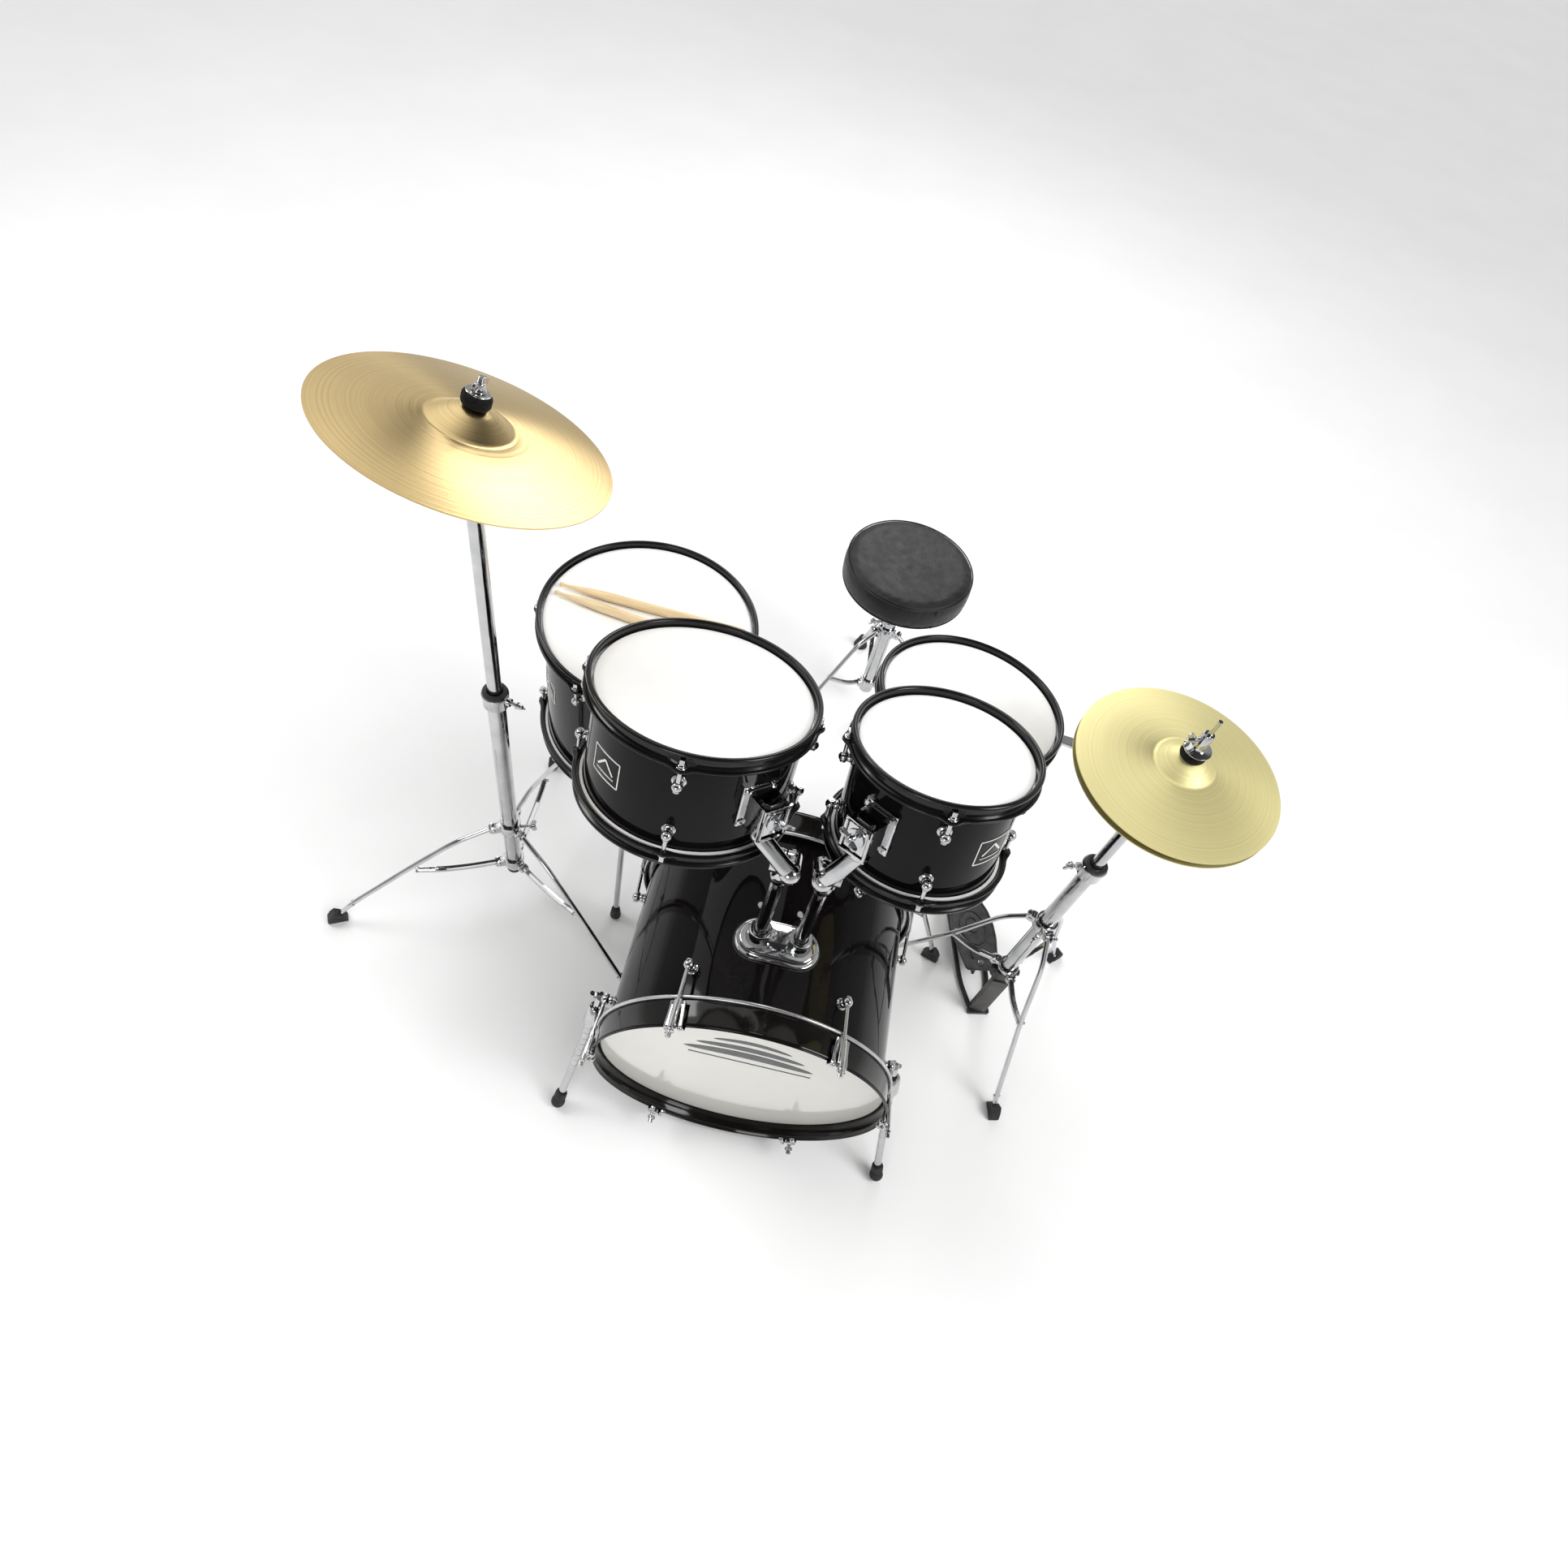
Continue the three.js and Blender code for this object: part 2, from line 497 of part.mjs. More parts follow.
function addHihatCymbals(parent, seat) {
  const { x, y, plane, radius } = HIHAT;
  const bellTop = CYMBAL.bowHeight + (CYMBAL.bellHeight - CYMBAL.bowHeight) * (radius / 152);
  const bottom = join(cymbalBody(radius)).rotateX(Math.PI).translate(x, y, seat + bellTop + GAP);
  addMesh(parent, 'hihat_bottom_cymbal', bottom, BRASS);
  addMesh(parent, 'hihat_top_cymbal', join(cymbalBody(radius)).translate(x, y, plane + 8), BRASS);
  const top = plane + 8 + bellTop;
  addMesh(parent, 'hihat_pull_rod', join(
    rod(vec(x, y, 74), vec(x, y, top + 66), 3, 10),
    rod(vec(x, y, top - 14), vec(x, y, top - 2.6), 8, 10),
    rod(vec(x, y, top + GAP), vec(x, y, top + 13), 16, 12),
    rod(vec(x, y, top + 12), vec(x, y, top + 40), 7, 12),
    wingScrew(vec(x - 5, y, top + 30), vec(-1, -0.4, 0), 14, 8),
  ), CHROME);
}

function addFootboard(parent, yaw) {
  const { x, y } = HIHAT;
  const board = new THREE.Shape();
  board.moveTo(-17, 0);
  board.lineTo(17, 0);
  board.bezierCurveTo(30, 30, 42, 50, 42, 90);
  board.bezierCurveTo(42, 130, 34, 160, 32, 190);
  board.lineTo(-32, 190);
  board.bezierCurveTo(-34, 160, -42, 130, -42, 90);
  board.bezierCurveTo(-42, 50, -30, 30, -17, 0);
  const length = 190;
  const tilt = Math.atan2(FOOTBOARD.toeHeight - FOOTBOARD.hingeHeight, length);
  const plate = new THREE.ExtrudeGeometry(board, { depth: 6, bevelEnabled: false, curveSegments: 5 })
    .translate(0, -length, 0).rotateX(-tilt)
    .translate(0, FOOTBOARD.heel - 22, FOOTBOARD.hingeHeight)
    .rotateZ(yaw).translate(x, y, 0);
  addMesh(parent, 'hihat_footboard', join(plate), BLACK_STEEL);
}

// ---- snare stand, throne, legs and sticks ----
function addSnareStand(parent) {
  const [x, y] = SNARE.centre;
  const stand = { x: x - 8, y: y - 22 };
  const pivot = vec(stand.x, stand.y, SNARE_PIVOT);
  const top = pivot.z - 15;
  const side = (offset) => pivot.clone().add(vec(offset, 0, 0));
  const legs = SNARE_FEET.azimuths.flatMap((azimuth) => [
    ...legBody(stand, SNARE_FEET, azimuth, [[12, 220], [60, 196], [150, 30]]),
    bentRod(legPoints(stand, [[10, 90], [92, 120], [104, 116]], azimuth), 3.2, 5),
  ]);
  addMesh(parent, 'snare_stand_tripod', join(
    rod(vec(stand.x, stand.y, 66), vec(stand.x, stand.y, top), 12.7, 12),
    rod(vec(stand.x, stand.y, 208), vec(stand.x, stand.y, 232), 18, 12), legs,
    block(10, 16, 24, side(-6).add(vec(0, 0, -12))), rod(side(-12), side(0), 12, 12),
  ), CHROME);
  const frame = placed(new THREE.Group(), SNARE.centre, SNARE.normal);
  frame.updateMatrixWorld();
  const local = (r, a, z) => polar(r, a, z).applyMatrix4(frame.matrixWorld);
  const hubTop = local(0, 0, -SNARE.depth - 40);
  const arms = [95, 215, 335].flatMap((a) => {
    const reach = SNARE.radius + 15;
    return bentRod([hubTop, local(reach, a, -SNARE.depth - 18), local(reach, a, -SNARE.depth + 8)], 4, 6);
  });
  const rests = [95, 215, 335].flatMap((a) => bentRod([
    local(SNARE.radius + 15, a, -SNARE.depth - 16), local(SNARE.radius - 3, a, -SNARE.depth - 16)], 5, 1));
  addMesh(parent, 'snare_basket', join(arms, rests, ball(hubTop, 14, 12, 8),
    rod(side(GAP), side(13), 12, 12), rod(side(8), hubTop, 5, 8)), CHROME);
}

function addSnare(parent) {
  const strainer = new THREE.BoxGeometry(14, 26, 66)
    .translate(SNARE.radius + 4.5, 0, -SNARE.depth / 2).rotateZ(radians(355));
  const group = drum(parent, 'snare', SNARE, 40, [strainer]);
  const arm = new THREE.BoxGeometry(6, 20, 52).translate(SNARE.radius + 15.5, 0, -SNARE.depth / 2 + 8);
  const paddle = new THREE.BoxGeometry(20, 20, 4).translate(SNARE.radius + 22, 0, -SNARE.depth / 2 + 33);
  addMesh(group, 'snare_throw_off', join(arm, paddle).rotateZ(radians(355)), CHROME);
}

function addThrone(parent) {
  const { x, y, seatTop, seatRadius, seatThickness } = THRONE;
  const stand = { x, y };
  const legs = THRONE_FEET.azimuths.flatMap((azimuth) => [
    ...legBody(stand, THRONE_FEET, azimuth, [[14, 238], [60, 214], [160, 30]]),
    bentRod(legPoints(stand, [[12, 84], [90, 118], [108, 126]], azimuth), 3.2, 5),
  ]);
  const sleeve = ring(11 + SLIDE, 14, 56, 268, TUBE_ROUND).translate(x, y, 0);
  const hubs = [84, 238].map((z) => ring(11 + SLIDE, 18, z - 12, z + 12, TUBE_ROUND).translate(x, y, 0));
  addMesh(parent, 'throne_tripod', join(sleeve, hubs, legs,
    wingScrew(vec(x - 13, y, 256), vec(-1, -0.3, 0), 24, 10)), CHROME);
  const underside = seatTop - seatThickness;
  addMesh(parent, 'throne_post', join(
    rod(vec(x, y, 120), vec(x, y, underside - 4 - GAP), 11, 12),
    rod(vec(x, y, 272), vec(x, y, 292), 15, 12),
    rod(vec(x, y, underside - 12), vec(x, y, underside - GAP), 46, 12)), CHROME);
  const seat = turned([[0, underside], [seatRadius - 8, underside], [seatRadius, underside + 12],
    [seatRadius, seatTop - 16], [seatRadius - 9, seatTop - 3], [0, seatTop]], 40).translate(x, y, 0);
  addMesh(parent, 'throne_seat', join(seat), VINYL);
}

function addFloorTom(parent) {
  const [x, y, top] = FLOOR_TOM.centre;
  const out = FLOOR_TOM.radius + 16;
  const sockets = FLOOR_LEGS.map((a) => {
    const body = new THREE.BoxGeometry(30, 26, 44).translate(FLOOR_TOM.radius + 12, 0, -128);
    const bore = rod(vec(out, 0, -200), vec(out, 0, 0), 5 + SLIDE, 10);
    return cut(join(body), bore).rotateZ(radians(a));
  });
  drum(parent, 'floor_tom', FLOOR_TOM, 6, sockets);
  FLOOR_LEGS.forEach((a, i) => {
    const at = (r, z) => polar(r, a, z).add(vec(x, y, 0));
    const leg = [
      rod(at(out, top - 70), at(out, 190), 5),
      bentRod([at(out, 192), at(out, 170), at(out + 34, 12)], 5, 5),
      rod(at(out + 34, GAP), at(out + 34, 26), 9, 8),
    ];
    addMesh(parent, `floor_tom_leg_${i + 1}`, join(leg), CHROME);
  });
}

// sticks lie on the floor tom's head, tips towards the left
function addSticks(parent) {
  const z = FLOOR_TOM.centre[2] + 1 + GAP;
  [[-427, 523, -149, 489], [-425, 540, -146, 534]].forEach(([x1, y1, x2, y2], i) => {
    const tip = vec(x1, y1, z + 7);
    const butt = vec(x2, y2, z + 7);
    const length = tip.distanceTo(butt);
    const stick = turned([[0, 0], [3.2, 2], [3.6, 7], [2.6, 12], [5, 34], [6.6, 70], [6.6, length - 4],
      [4, length], [0, length]], 10);
    addMesh(parent, i ? 'drumstick_right' : 'drumstick_left', join(aim(stick, tip, butt)), WOOD);
  });
}

// ---- the kit ----
const kit = new THREE.Group();
addMesh(kit, 'bass_shell', bassShell(), LACQUER);
addMesh(kit, 'bass_hoop_front', bassHoop(-12, 1), BLACK_STEEL);
addMesh(kit, 'bass_hoop_rear', bassHoop(334, -1), BLACK_STEEL);
addMesh(kit, 'bass_head_front', bassHead(BASS.front, 1), HEAD_FILM);
addMesh(kit, 'bass_head_batter', bassHead(BASS.back, -1), HEAD_FILM);
addMesh(kit, 'tom_mount_plate', tomMountPlate(), CHROME);
addMesh(kit, 'spur_left', spur(-1), CHROME);
addMesh(kit, 'spur_right', spur(1), CHROME);
addBassPedal(kit);
mountedTom(kit, 'tom_high_left', TOM_1, 0, 313, POSTS.x[0]);
mountedTom(kit, 'tom_high_right', TOM_2, 4, 233, POSTS.x[1]);
addFloorTom(kit);
addSticks(kit);
addSnare(kit);
addSnareStand(kit);
addCrashStand(kit);
addHihatStand(kit);
addThrone(kit);

// the origin is the middle of the footprint, on the floor
const extent = new THREE.Box3().setFromObject(kit);
const middle = extent.getCenter(vec(0, 0, 0));
kit.position.set(-middle.x, -middle.y, 0);

export default kit;
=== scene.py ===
"""Looks of a compact acoustic drum kit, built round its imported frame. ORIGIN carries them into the
row frame, which is in metres."""
import json
import math

import bmesh
import bpy
import numpy as np
from mathutils import Matrix, Vector

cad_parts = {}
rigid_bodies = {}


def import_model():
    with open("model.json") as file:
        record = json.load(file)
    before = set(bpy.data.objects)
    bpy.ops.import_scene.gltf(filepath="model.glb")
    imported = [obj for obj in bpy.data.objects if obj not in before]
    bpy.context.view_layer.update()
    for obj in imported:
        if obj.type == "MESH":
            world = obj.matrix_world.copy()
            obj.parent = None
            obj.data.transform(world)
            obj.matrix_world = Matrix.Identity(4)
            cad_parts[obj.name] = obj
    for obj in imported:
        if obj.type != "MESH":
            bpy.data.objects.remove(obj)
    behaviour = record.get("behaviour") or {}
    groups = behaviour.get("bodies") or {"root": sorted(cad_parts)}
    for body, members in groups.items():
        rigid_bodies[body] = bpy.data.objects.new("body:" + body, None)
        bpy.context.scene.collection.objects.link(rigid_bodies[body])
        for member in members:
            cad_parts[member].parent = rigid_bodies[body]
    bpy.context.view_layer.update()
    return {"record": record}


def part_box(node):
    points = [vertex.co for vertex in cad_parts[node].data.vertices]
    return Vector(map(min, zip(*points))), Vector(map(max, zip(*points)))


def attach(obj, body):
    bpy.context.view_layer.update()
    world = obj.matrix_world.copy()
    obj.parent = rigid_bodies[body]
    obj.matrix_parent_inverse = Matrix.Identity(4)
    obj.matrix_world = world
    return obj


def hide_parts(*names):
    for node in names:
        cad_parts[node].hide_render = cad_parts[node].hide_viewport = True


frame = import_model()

BODIES = frame["record"]["behaviour"]["bodies"]
BODY_OF = {cad_node: body for body, cad_nodes in BODIES.items() for cad_node in cad_nodes}
MM = 0.001
TURN_OVER = Matrix.Rotation(math.pi, 4, "X")
SIDE_ON = Matrix(((0, 0, 1, 0), (1, 0, 0, 0), (0, 1, 0, 0), (0, 0, 0, 1)))  # stands an XY outline in YZ

# ---- driving dimensions, shared with the frame ----
BASS = {"radius": 203, "front": 12, "back": 310, "height": 232.5, "stations": 6, "lug_inset": 62}
HOOP_RADIUS, HOOP_WIDTH, HOOP_PROUD = 214.5, 44, 24
TOM_1 = {"radius": 123, "depth": 143, "stations": 4, "first": 0,
         "centre": (-160, 243, 774), "normal": (0.021, 0.272, 0.962)}
TOM_2 = {"radius": 98, "depth": 143, "stations": 4, "first": 4,
         "centre": (115, 226, 796), "normal": (-0.028, 0.272, 0.962)}
FLOOR_TOM = {"radius": 149, "depth": 236, "stations": 6, "first": 6,
             "centre": (-285, 519, 560), "normal": (0, 0, 1)}
SNARE = {"radius": 123, "depth": 104, "stations": 4, "first": 40,
         "centre": (184, 460, 623), "normal": (0.04, 0.15, 0.988)}
WALL = 6
LUG_INSET, ROD_OUT = 36, 11
POSTS = {"x": (-27, 27), "y": 125, "bottom": 372, "ratchet": 647, "radius": 9}
BRACKET = {"low": -86, "high": -44, "reach": 32, "socket": 20, "rod": 5}
CRASH = {"x": -450, "y": 334, "hub": 96, "collar": 206, "joint": 540, "pivot": 955,
         "radius": 152, "tilt": 19.5, "tilt_azimuth": 47.7}
CRASH_FEET = {"radius": 300, "azimuths": (208, 328, 88)}
LEG_FOLD = {"rivet": 168, "rivet_height": 120}
HIHAT = {"x": 411, "y": 318, "hub": 150, "collar": 332, "joint": 505, "plane": 742, "radius": 129}
HIHAT_FEET = {"radius": 196, "azimuths": (282, 42, 162)}
BOARD_HINGE = 22  # how far the hi-hat board's hinge stands before its heel plate
FOOTBOARD = {"yaw": 12, "heel": 250, "hinge": 20, "toe": 52, "length": 190}
PEDAL = {"front": 342, "heel": 590, "axle": 128, "toe": 62, "hinge": 22, "stroke": 18.5}
THRONE = {"x": 107, "y": 950, "top": 419, "radius": 121, "thickness": 56}
THRONE_FEET = {"radius": 180, "azimuths": (97, 217, 337)}
SNARE_PIVOT = 452
SNARE_FEET = {"radius": 150, "azimuths": (341, 101, 221)}
SNARE_ARMS = (95, 215, 335)
FLOOR_LEGS = (276, 36, 156)
CYMBAL = {"hole": 6, "bell": 44, "bell_height": 34, "bow": 15, "thickness": 1.4, "full": 152}
STICK_ENDS = (("left", (-427, 523), (-149, 489)), ("right", (-425, 540), (-146, 534)))
STRAINER_AZIMUTH, BUTT_AZIMUTH = 355, 175
FILM_PROUD = 1.2  # how far the bass drum's film stands past its shell

head_low, head_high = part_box("bass_head_front")
ORIGIN = Vector(((head_low.x + head_high.x) / 2, head_low.y - (BASS["front"] - FILM_PROUD) * MM, 0))


# ---- shapes: points in millimetres and faces ----
class Shape:
    """A bare mesh that is moved and joined before it becomes a piece."""

    def __init__(self, points=(), faces=()):
        self.points = np.array(points, float).reshape(-1, 3)
        self.faces = [tuple(f) for f in faces]

    def moved(self, matrix):
        m = np.array(matrix, float)
        return Shape(self.points @ m[:3, :3].T + m[:3, 3], self.faces)

    def at(self, x, y, z):
        return self.moved(Matrix.Translation((x, y, z)))

    def turned(self, degrees, axis="Z"):
        return self.moved(Matrix.Rotation(math.radians(degrees), 4, axis))


def join(*shapes):
    """One shape from several, or from lists of them."""
    flat, queue = [], list(shapes)
    while queue:
        item = queue.pop(0)
        if isinstance(item, Shape):
            flat.append(item)
        else:
            queue = list(item) + queue
    points, faces, start = [], [], 0
    for shape in flat:
        points.append(shape.points)
        faces += [tuple(i + start for i in f) for f in shape.faces]
        start += len(shape.points)
    return Shape(np.concatenate(points), faces)


def polar(radius, degrees, z=0.0):
    a = math.radians(degrees)
    return Vector((radius * math.cos(a), radius * math.sin(a), z))


def arc(cx, cz, radius, start, end, steps=6):
    """Points of an arc in a profile, from one angle to the other."""
    angles = np.radians(np.linspace(start, end, steps + 1))
    return [(cx + radius * math.cos(a), cz + radius * math.sin(a)) for a in angles]


def hollow(profile, around=40):
    """A turned piece with a bore: its profile closes on itself."""
    return lathe(profile, around, closed=True)


def lathe(profile, around=48, closed=False):
    """A piece turned about Z. The profile is (radius, height) pairs, or a function of the angle."""
    rows_at = profile if callable(profile) else (lambda degrees: profile)
    columns = [rows_at(360 * k / around) for k in range(around)]
    rows = len(columns[0])
    points, index = [], np.zeros((rows, around), int)
    for i in range(rows):
        if columns[0][i][0] < 1e-6:
            index[i, :] = len(points)
            points.append((0, 0, columns[0][i][1]))
            continue
        for k in range(around):
            index[i, k] = len(points)
            points.append(polar(columns[k][i][0], 360 * k / around, columns[k][i][1]))
    faces = []
    for i in range(rows if closed else rows - 1):
        low, high = index[i], index[(i + 1) % rows]
        for k in range(around):
            n = (k + 1) % around
            ring = [low[k], low[n], high[n], high[k]]
            face = [v for j, v in enumerate(ring) if v != ring[j - 1]]
            if len(face) > 2:
                faces.append(face)
    return Shape(points, faces)


def tube_ring(inner, outer, low, high, around=48):
    return hollow([(inner, low), (outer, low), (outer, high), (inner, high)], around)


def ball(radius, around=24, up=12):
    return lathe([(0, -radius)] + arc(0, 0, radius, -90, 90, up)[1:-1] + [(0, radius)], around)


def aimed(start, end):
    """A matrix that stands Z on start and points it at end."""
    start, end = Vector(start), Vector(end)
    turn = Vector((0, 0, 1)).rotation_difference(end - start).to_matrix().to_4x4()
    return Matrix.Translation(start) @ turn


def rod(start, end, radius, around=24):
    length = (Vector(end) - Vector(start)).length
    return lathe([(0, 0), (radius, 0), (radius, length), (0, length)], around).moved(aimed(start, end))


def prism(outline, low, high):
    """An outline in XY, extruded from low to high."""
    n = len(outline)
    points = [(x, y, low) for x, y in outline] + [(x, y, high) for x, y in outline]
    sides = [(i, (i + 1) % n, n + (i + 1) % n, n + i) for i in range(n)]
    return Shape(points, sides + [tuple(range(n))[::-1], tuple(range(n, 2 * n))])


def slab(x, y, z, corner=0.0, steps=4):
    """A block centred on the origin, its upright edges rounded."""
    return prism(rounded(x, y, corner, steps), -z / 2, z / 2)


def rounded(width, height, corner, steps=4):
    """A rectangle's outline with round corners."""
    x, y = width / 2 - corner, height / 2 - corner
    if corner <= 0:
        return [(-x, -y), (x, -y), (x, y), (-x, y)]
    return (arc(x, -y, corner, -90, 0, steps) + arc(x, y, corner, 0, 90, steps)
            + arc(-x, y, corner, 90, 180, steps) + arc(-x, -y, corner, 180, 270, steps))


def bent(points, radius, steps=6):
    """A path through points with its corners rounded, as a bent tube or bar has."""
    points = [Vector(p) for p in points]
    path = [points[0]]
    for before, corner, after in zip(points, points[1:], points[2:]):
        reach = min(radius, (before - corner).length * 0.45, (after - corner).length * 0.45)
        a = corner + (before - corner).normalized() * reach
        b = corner + (after - corner).normalized() * reach
        for t in np.linspace(0, 1, steps + 1):
            path.append(a * (1 - t) ** 2 + corner * 2 * t * (1 - t) + b * t * t)
    return path + [points[-1]]


def sweep(path, section, up=(0, 0, 1), scales=None):
    """A closed section, (side, up) pairs, carried along a path."""
    path = [Vector(p) for p in path]
    scales = scales or [1.0] * len(path)
    rings, previous = [], None
    for i, p in enumerate(path):
        ahead = (path[min(i + 1, len(path) - 1)] - path[max(i - 1, 0)]).normalized()
        reference = Vector(up) if previous is None else previous
        side = ahead.cross(reference)
        if side.length < 1e-6:
            side = ahead.cross(Vector((1, 0, 0)))
        side.normalize()
        over = side.cross(ahead).normalized()
        previous = over
        rings.append([p + side * (u * scales[i]) + over * (v * scales[i]) for u, v in section])
    n = len(section)
    points = [q for ring in rings for q in ring]
    faces = [tuple(range(n)), tuple(range(len(points) - n, len(points)))[::-1]]
    for i in range(len(rings) - 1):
        for k in range(n):
            a, b = i * n + k, i * n + (k + 1) % n
            faces.append((a, b, b + n, a + n))
    return Shape(points, faces)


def circle(radius, sides=16):
    angles = np.linspace(0, 2 * math.pi, sides, endpoint=False)
    return [(radius * math.cos(a), radius * math.sin(a)) for a in angles]


def threaded(start, end, radius):
    """A screw thread, drawn as fine ridges."""
    pitch, root = 1.1, radius * 0.86
    length = (Vector(end) - Vector(start)).length
    count = max(2, int(length / pitch))
    ridges = []
    for k in range(count):
        z = length * k / count
        ridges += [(root, z), (radius, z + pitch * 0.5)]
    return lathe([(0, 0)] + ridges + [(root, length), (0, length)], 16).moved(aimed(start, end))


def wing(reach, thickness=2.6):
    """One ear of a wing screw: a leaf on a narrow root, in the XZ plane."""
    leaf = [(1.5, -2.2)] + arc(reach * 0.66, 2.2, reach * 0.34, -80, 165, 10) + [(1.5, 3.2)]
    return prism(leaf, -thickness / 2, thickness / 2).turned(90, "X")


def wing_screw(start, direction, length, reach=11, spin=0.0):
    """A threaded shank with a waisted hub and two ears."""
    start, direction = Vector(start), Vector(direction).normalized()
    hub = lathe([(0, 0), (5.2, 0), (5.4, 1.6), (3.9, 4), (3.7, 8), (2.6, 9.6), (0, 9.8)], 24)
    leaf = wing(reach).at(0, 0, 5)
    head = join(hub, leaf, leaf.turned(180)).turned(spin)
    seat = start + direction * max(length - 8, 2)
    return join(threaded(start, seat + direction, 2.9), head.moved(aimed(seat, seat + direction)))


def square_headed_rod(start, end, radius=2.5, thread=14.0):
    """A tension rod: a washer and square head at start, a thread at the far end."""
    start, end = Vector(start), Vector(end)
    ahead = (end - start).normalized()
    length = (end - start).length
    head = join(
        lathe([(0, 0), (5.6, 0), (5.8, 0.7), (5.2, 1.4), (0, 1.4)], 28),
        lathe([(0, 1.2), (4.3, 1.3), (4.3, 3.2), (3.2, 4.2), (0, 4.2)], 24),
        slab(5.6, 5.6, 7, 0.7, 2).at(0, 0, 7.2),
    )
    plain = rod(start - ahead, start + ahead * (length - thread), radius, 16)
    return join(head.moved(aimed(start, start - ahead)), plain,
                threaded(start + ahead * (length - thread), end, radius))


# ---- materials ----
MIDDLE_RANGE = (0.3, 0.7)  # where nearly all of a noise texture's values lie


def shader(name, metallic=0.0, **constants):
    """A material with a principled shader, and the tools to vary it."""
    material = bpy.data.materials.new(name)
    material.use_nodes = True
    tree = material.node_tree
    surface = tree.nodes["Principled BSDF"]
    surface.inputs["Metallic"].default_value = metallic
    for key, value in constants.items():
        surface.inputs[key.replace("_", " ")].default_value = value
    return material, tree, surface


def node(tree, kind, **settings):
    """A node with its sockets and its own settings filled in."""
    made = tree.nodes.new(kind)
    for key, value in settings.items():
        if key in made.inputs:
            made.inputs[key].default_value = value
        else:
            setattr(made, key, value)
    return made


def object_coords(tree, scale=(1, 1, 1)):
    coords = tree.nodes.new("ShaderNodeTexCoord")
    mapping = node(tree, "ShaderNodeMapping")
    mapping.inputs["Scale"].default_value = scale
    tree.links.new(coords.outputs["Object"], mapping.inputs["Vector"])
    return mapping.outputs["Vector"]


def noise_of(tree, scale, detail=3.0, stretch=(1, 1, 1)):
    """Noise fixed to the object's own axes."""
    texture = node(tree, "ShaderNodeTexNoise", Scale=scale, Detail=detail, Roughness=0.55)
    tree.links.new(object_coords(tree, stretch), texture.inputs["Vector"])
    return texture.outputs["Fac"]


def spread(tree, value, low, high):
    """Maps a texture's middle range onto low to high."""
    ranged = node(tree, "ShaderNodeMapRange")
    for key, number in zip(("From Min", "From Max", "To Min", "To Max"), (*MIDDLE_RANGE, low, high)):
        ranged.inputs[key].default_value = number
    tree.links.new(value, ranged.inputs["Value"])
    return ranged.outputs["Result"]


def tint(tree, value, dark, light):
    """Maps a texture's middle range onto two colours."""
    ramp = tree.nodes.new("ShaderNodeValToRGB")
    for stop, position, colour in zip(ramp.color_ramp.elements, MIDDLE_RANGE, (dark, light)):
        stop.position = position
        stop.color = (*colour, 1)
    tree.links.new(value, ramp.inputs["Fac"])
    return ramp.outputs["Color"]


def relief(tree, surface, heights):
    """Bumps, coarse to fine, each (height output, strength, depth in metres)."""
    normal = None
    for height, strength, depth in heights:
        bump = node(tree, "ShaderNodeBump", Strength=strength, Distance=depth)
        tree.links.new(height, bump.inputs["Height"])
        if normal is not None:
            tree.links.new(normal, bump.inputs["Normal"])
        normal = bump.outputs["Normal"]
    tree.links.new(normal, surface.inputs["Normal"])


def grainy(name, dark, light, rough, texture, relief_at, metallic=0.0, stretch=(1, 1, 1), **constants):
    """The common build: colour and roughness drift with noise, and a fine grain stands in relief."""
    material, tree, surface = shader(name, metallic, **constants)
    drift = noise_of(tree, texture, 4, stretch)
    tree.links.new(tint(tree, drift, dark, light), surface.inputs["Base Color"])
    finer = noise_of(tree, texture * 1.7, 5, stretch)
    tree.links.new(spread(tree, finer, *rough), surface.inputs["Roughness"])
    bumps = [(noise_of(tree, scale, 3, stretch), strength, depth) for scale, strength, depth in relief_at]
    relief(tree, surface, bumps)
    return material


def lathed(name, dark, light, rough, metallic, anisotropic):
    """Lathed bronze: fine concentric grooves round the local Z axis and a brushed, turning sheen."""
    material, tree, surface = shader(name, metallic, Anisotropic=anisotropic)
    coords = tree.nodes.new("ShaderNodeTexCoord")
    split = tree.nodes.new("ShaderNodeSeparateXYZ")
    flat = tree.nodes.new("ShaderNodeCombineXYZ")
    length = node(tree, "ShaderNodeVectorMath", operation="LENGTH")
    tree.links.new(coords.outputs["Object"], split.inputs[0])
    tree.links.new(split.outputs["X"], flat.inputs["X"])
    tree.links.new(split.outputs["Y"], flat.inputs["Y"])
    tree.links.new(flat.outputs[0], length.inputs[0])
    radial = tree.nodes.new("ShaderNodeCombineXYZ")
    tree.links.new(length.outputs["Value"], radial.inputs["X"])

    def rings(scale, detail=2.0):
        texture = node(tree, "ShaderNodeTexNoise", Scale=scale, Detail=detail)
        tree.links.new(radial.outputs[0], texture.inputs["Vector"])
        return texture.outputs["Fac"]

    tree.links.new(tint(tree, rings(420, 3), dark, light), surface.inputs["Base Color"])
    tree.links.new(spread(tree, rings(900), *rough), surface.inputs["Roughness"])
    relief(tree, surface, [(rings(190, 1), 0.25, 0.0004), (rings(1100, 1), 0.35, 0.00012)])
    tangent = node(tree, "ShaderNodeTangent", direction_type="RADIAL", axis="Z")
    tree.links.new(tangent.outputs[0], surface.inputs["Tangent"])
    return material


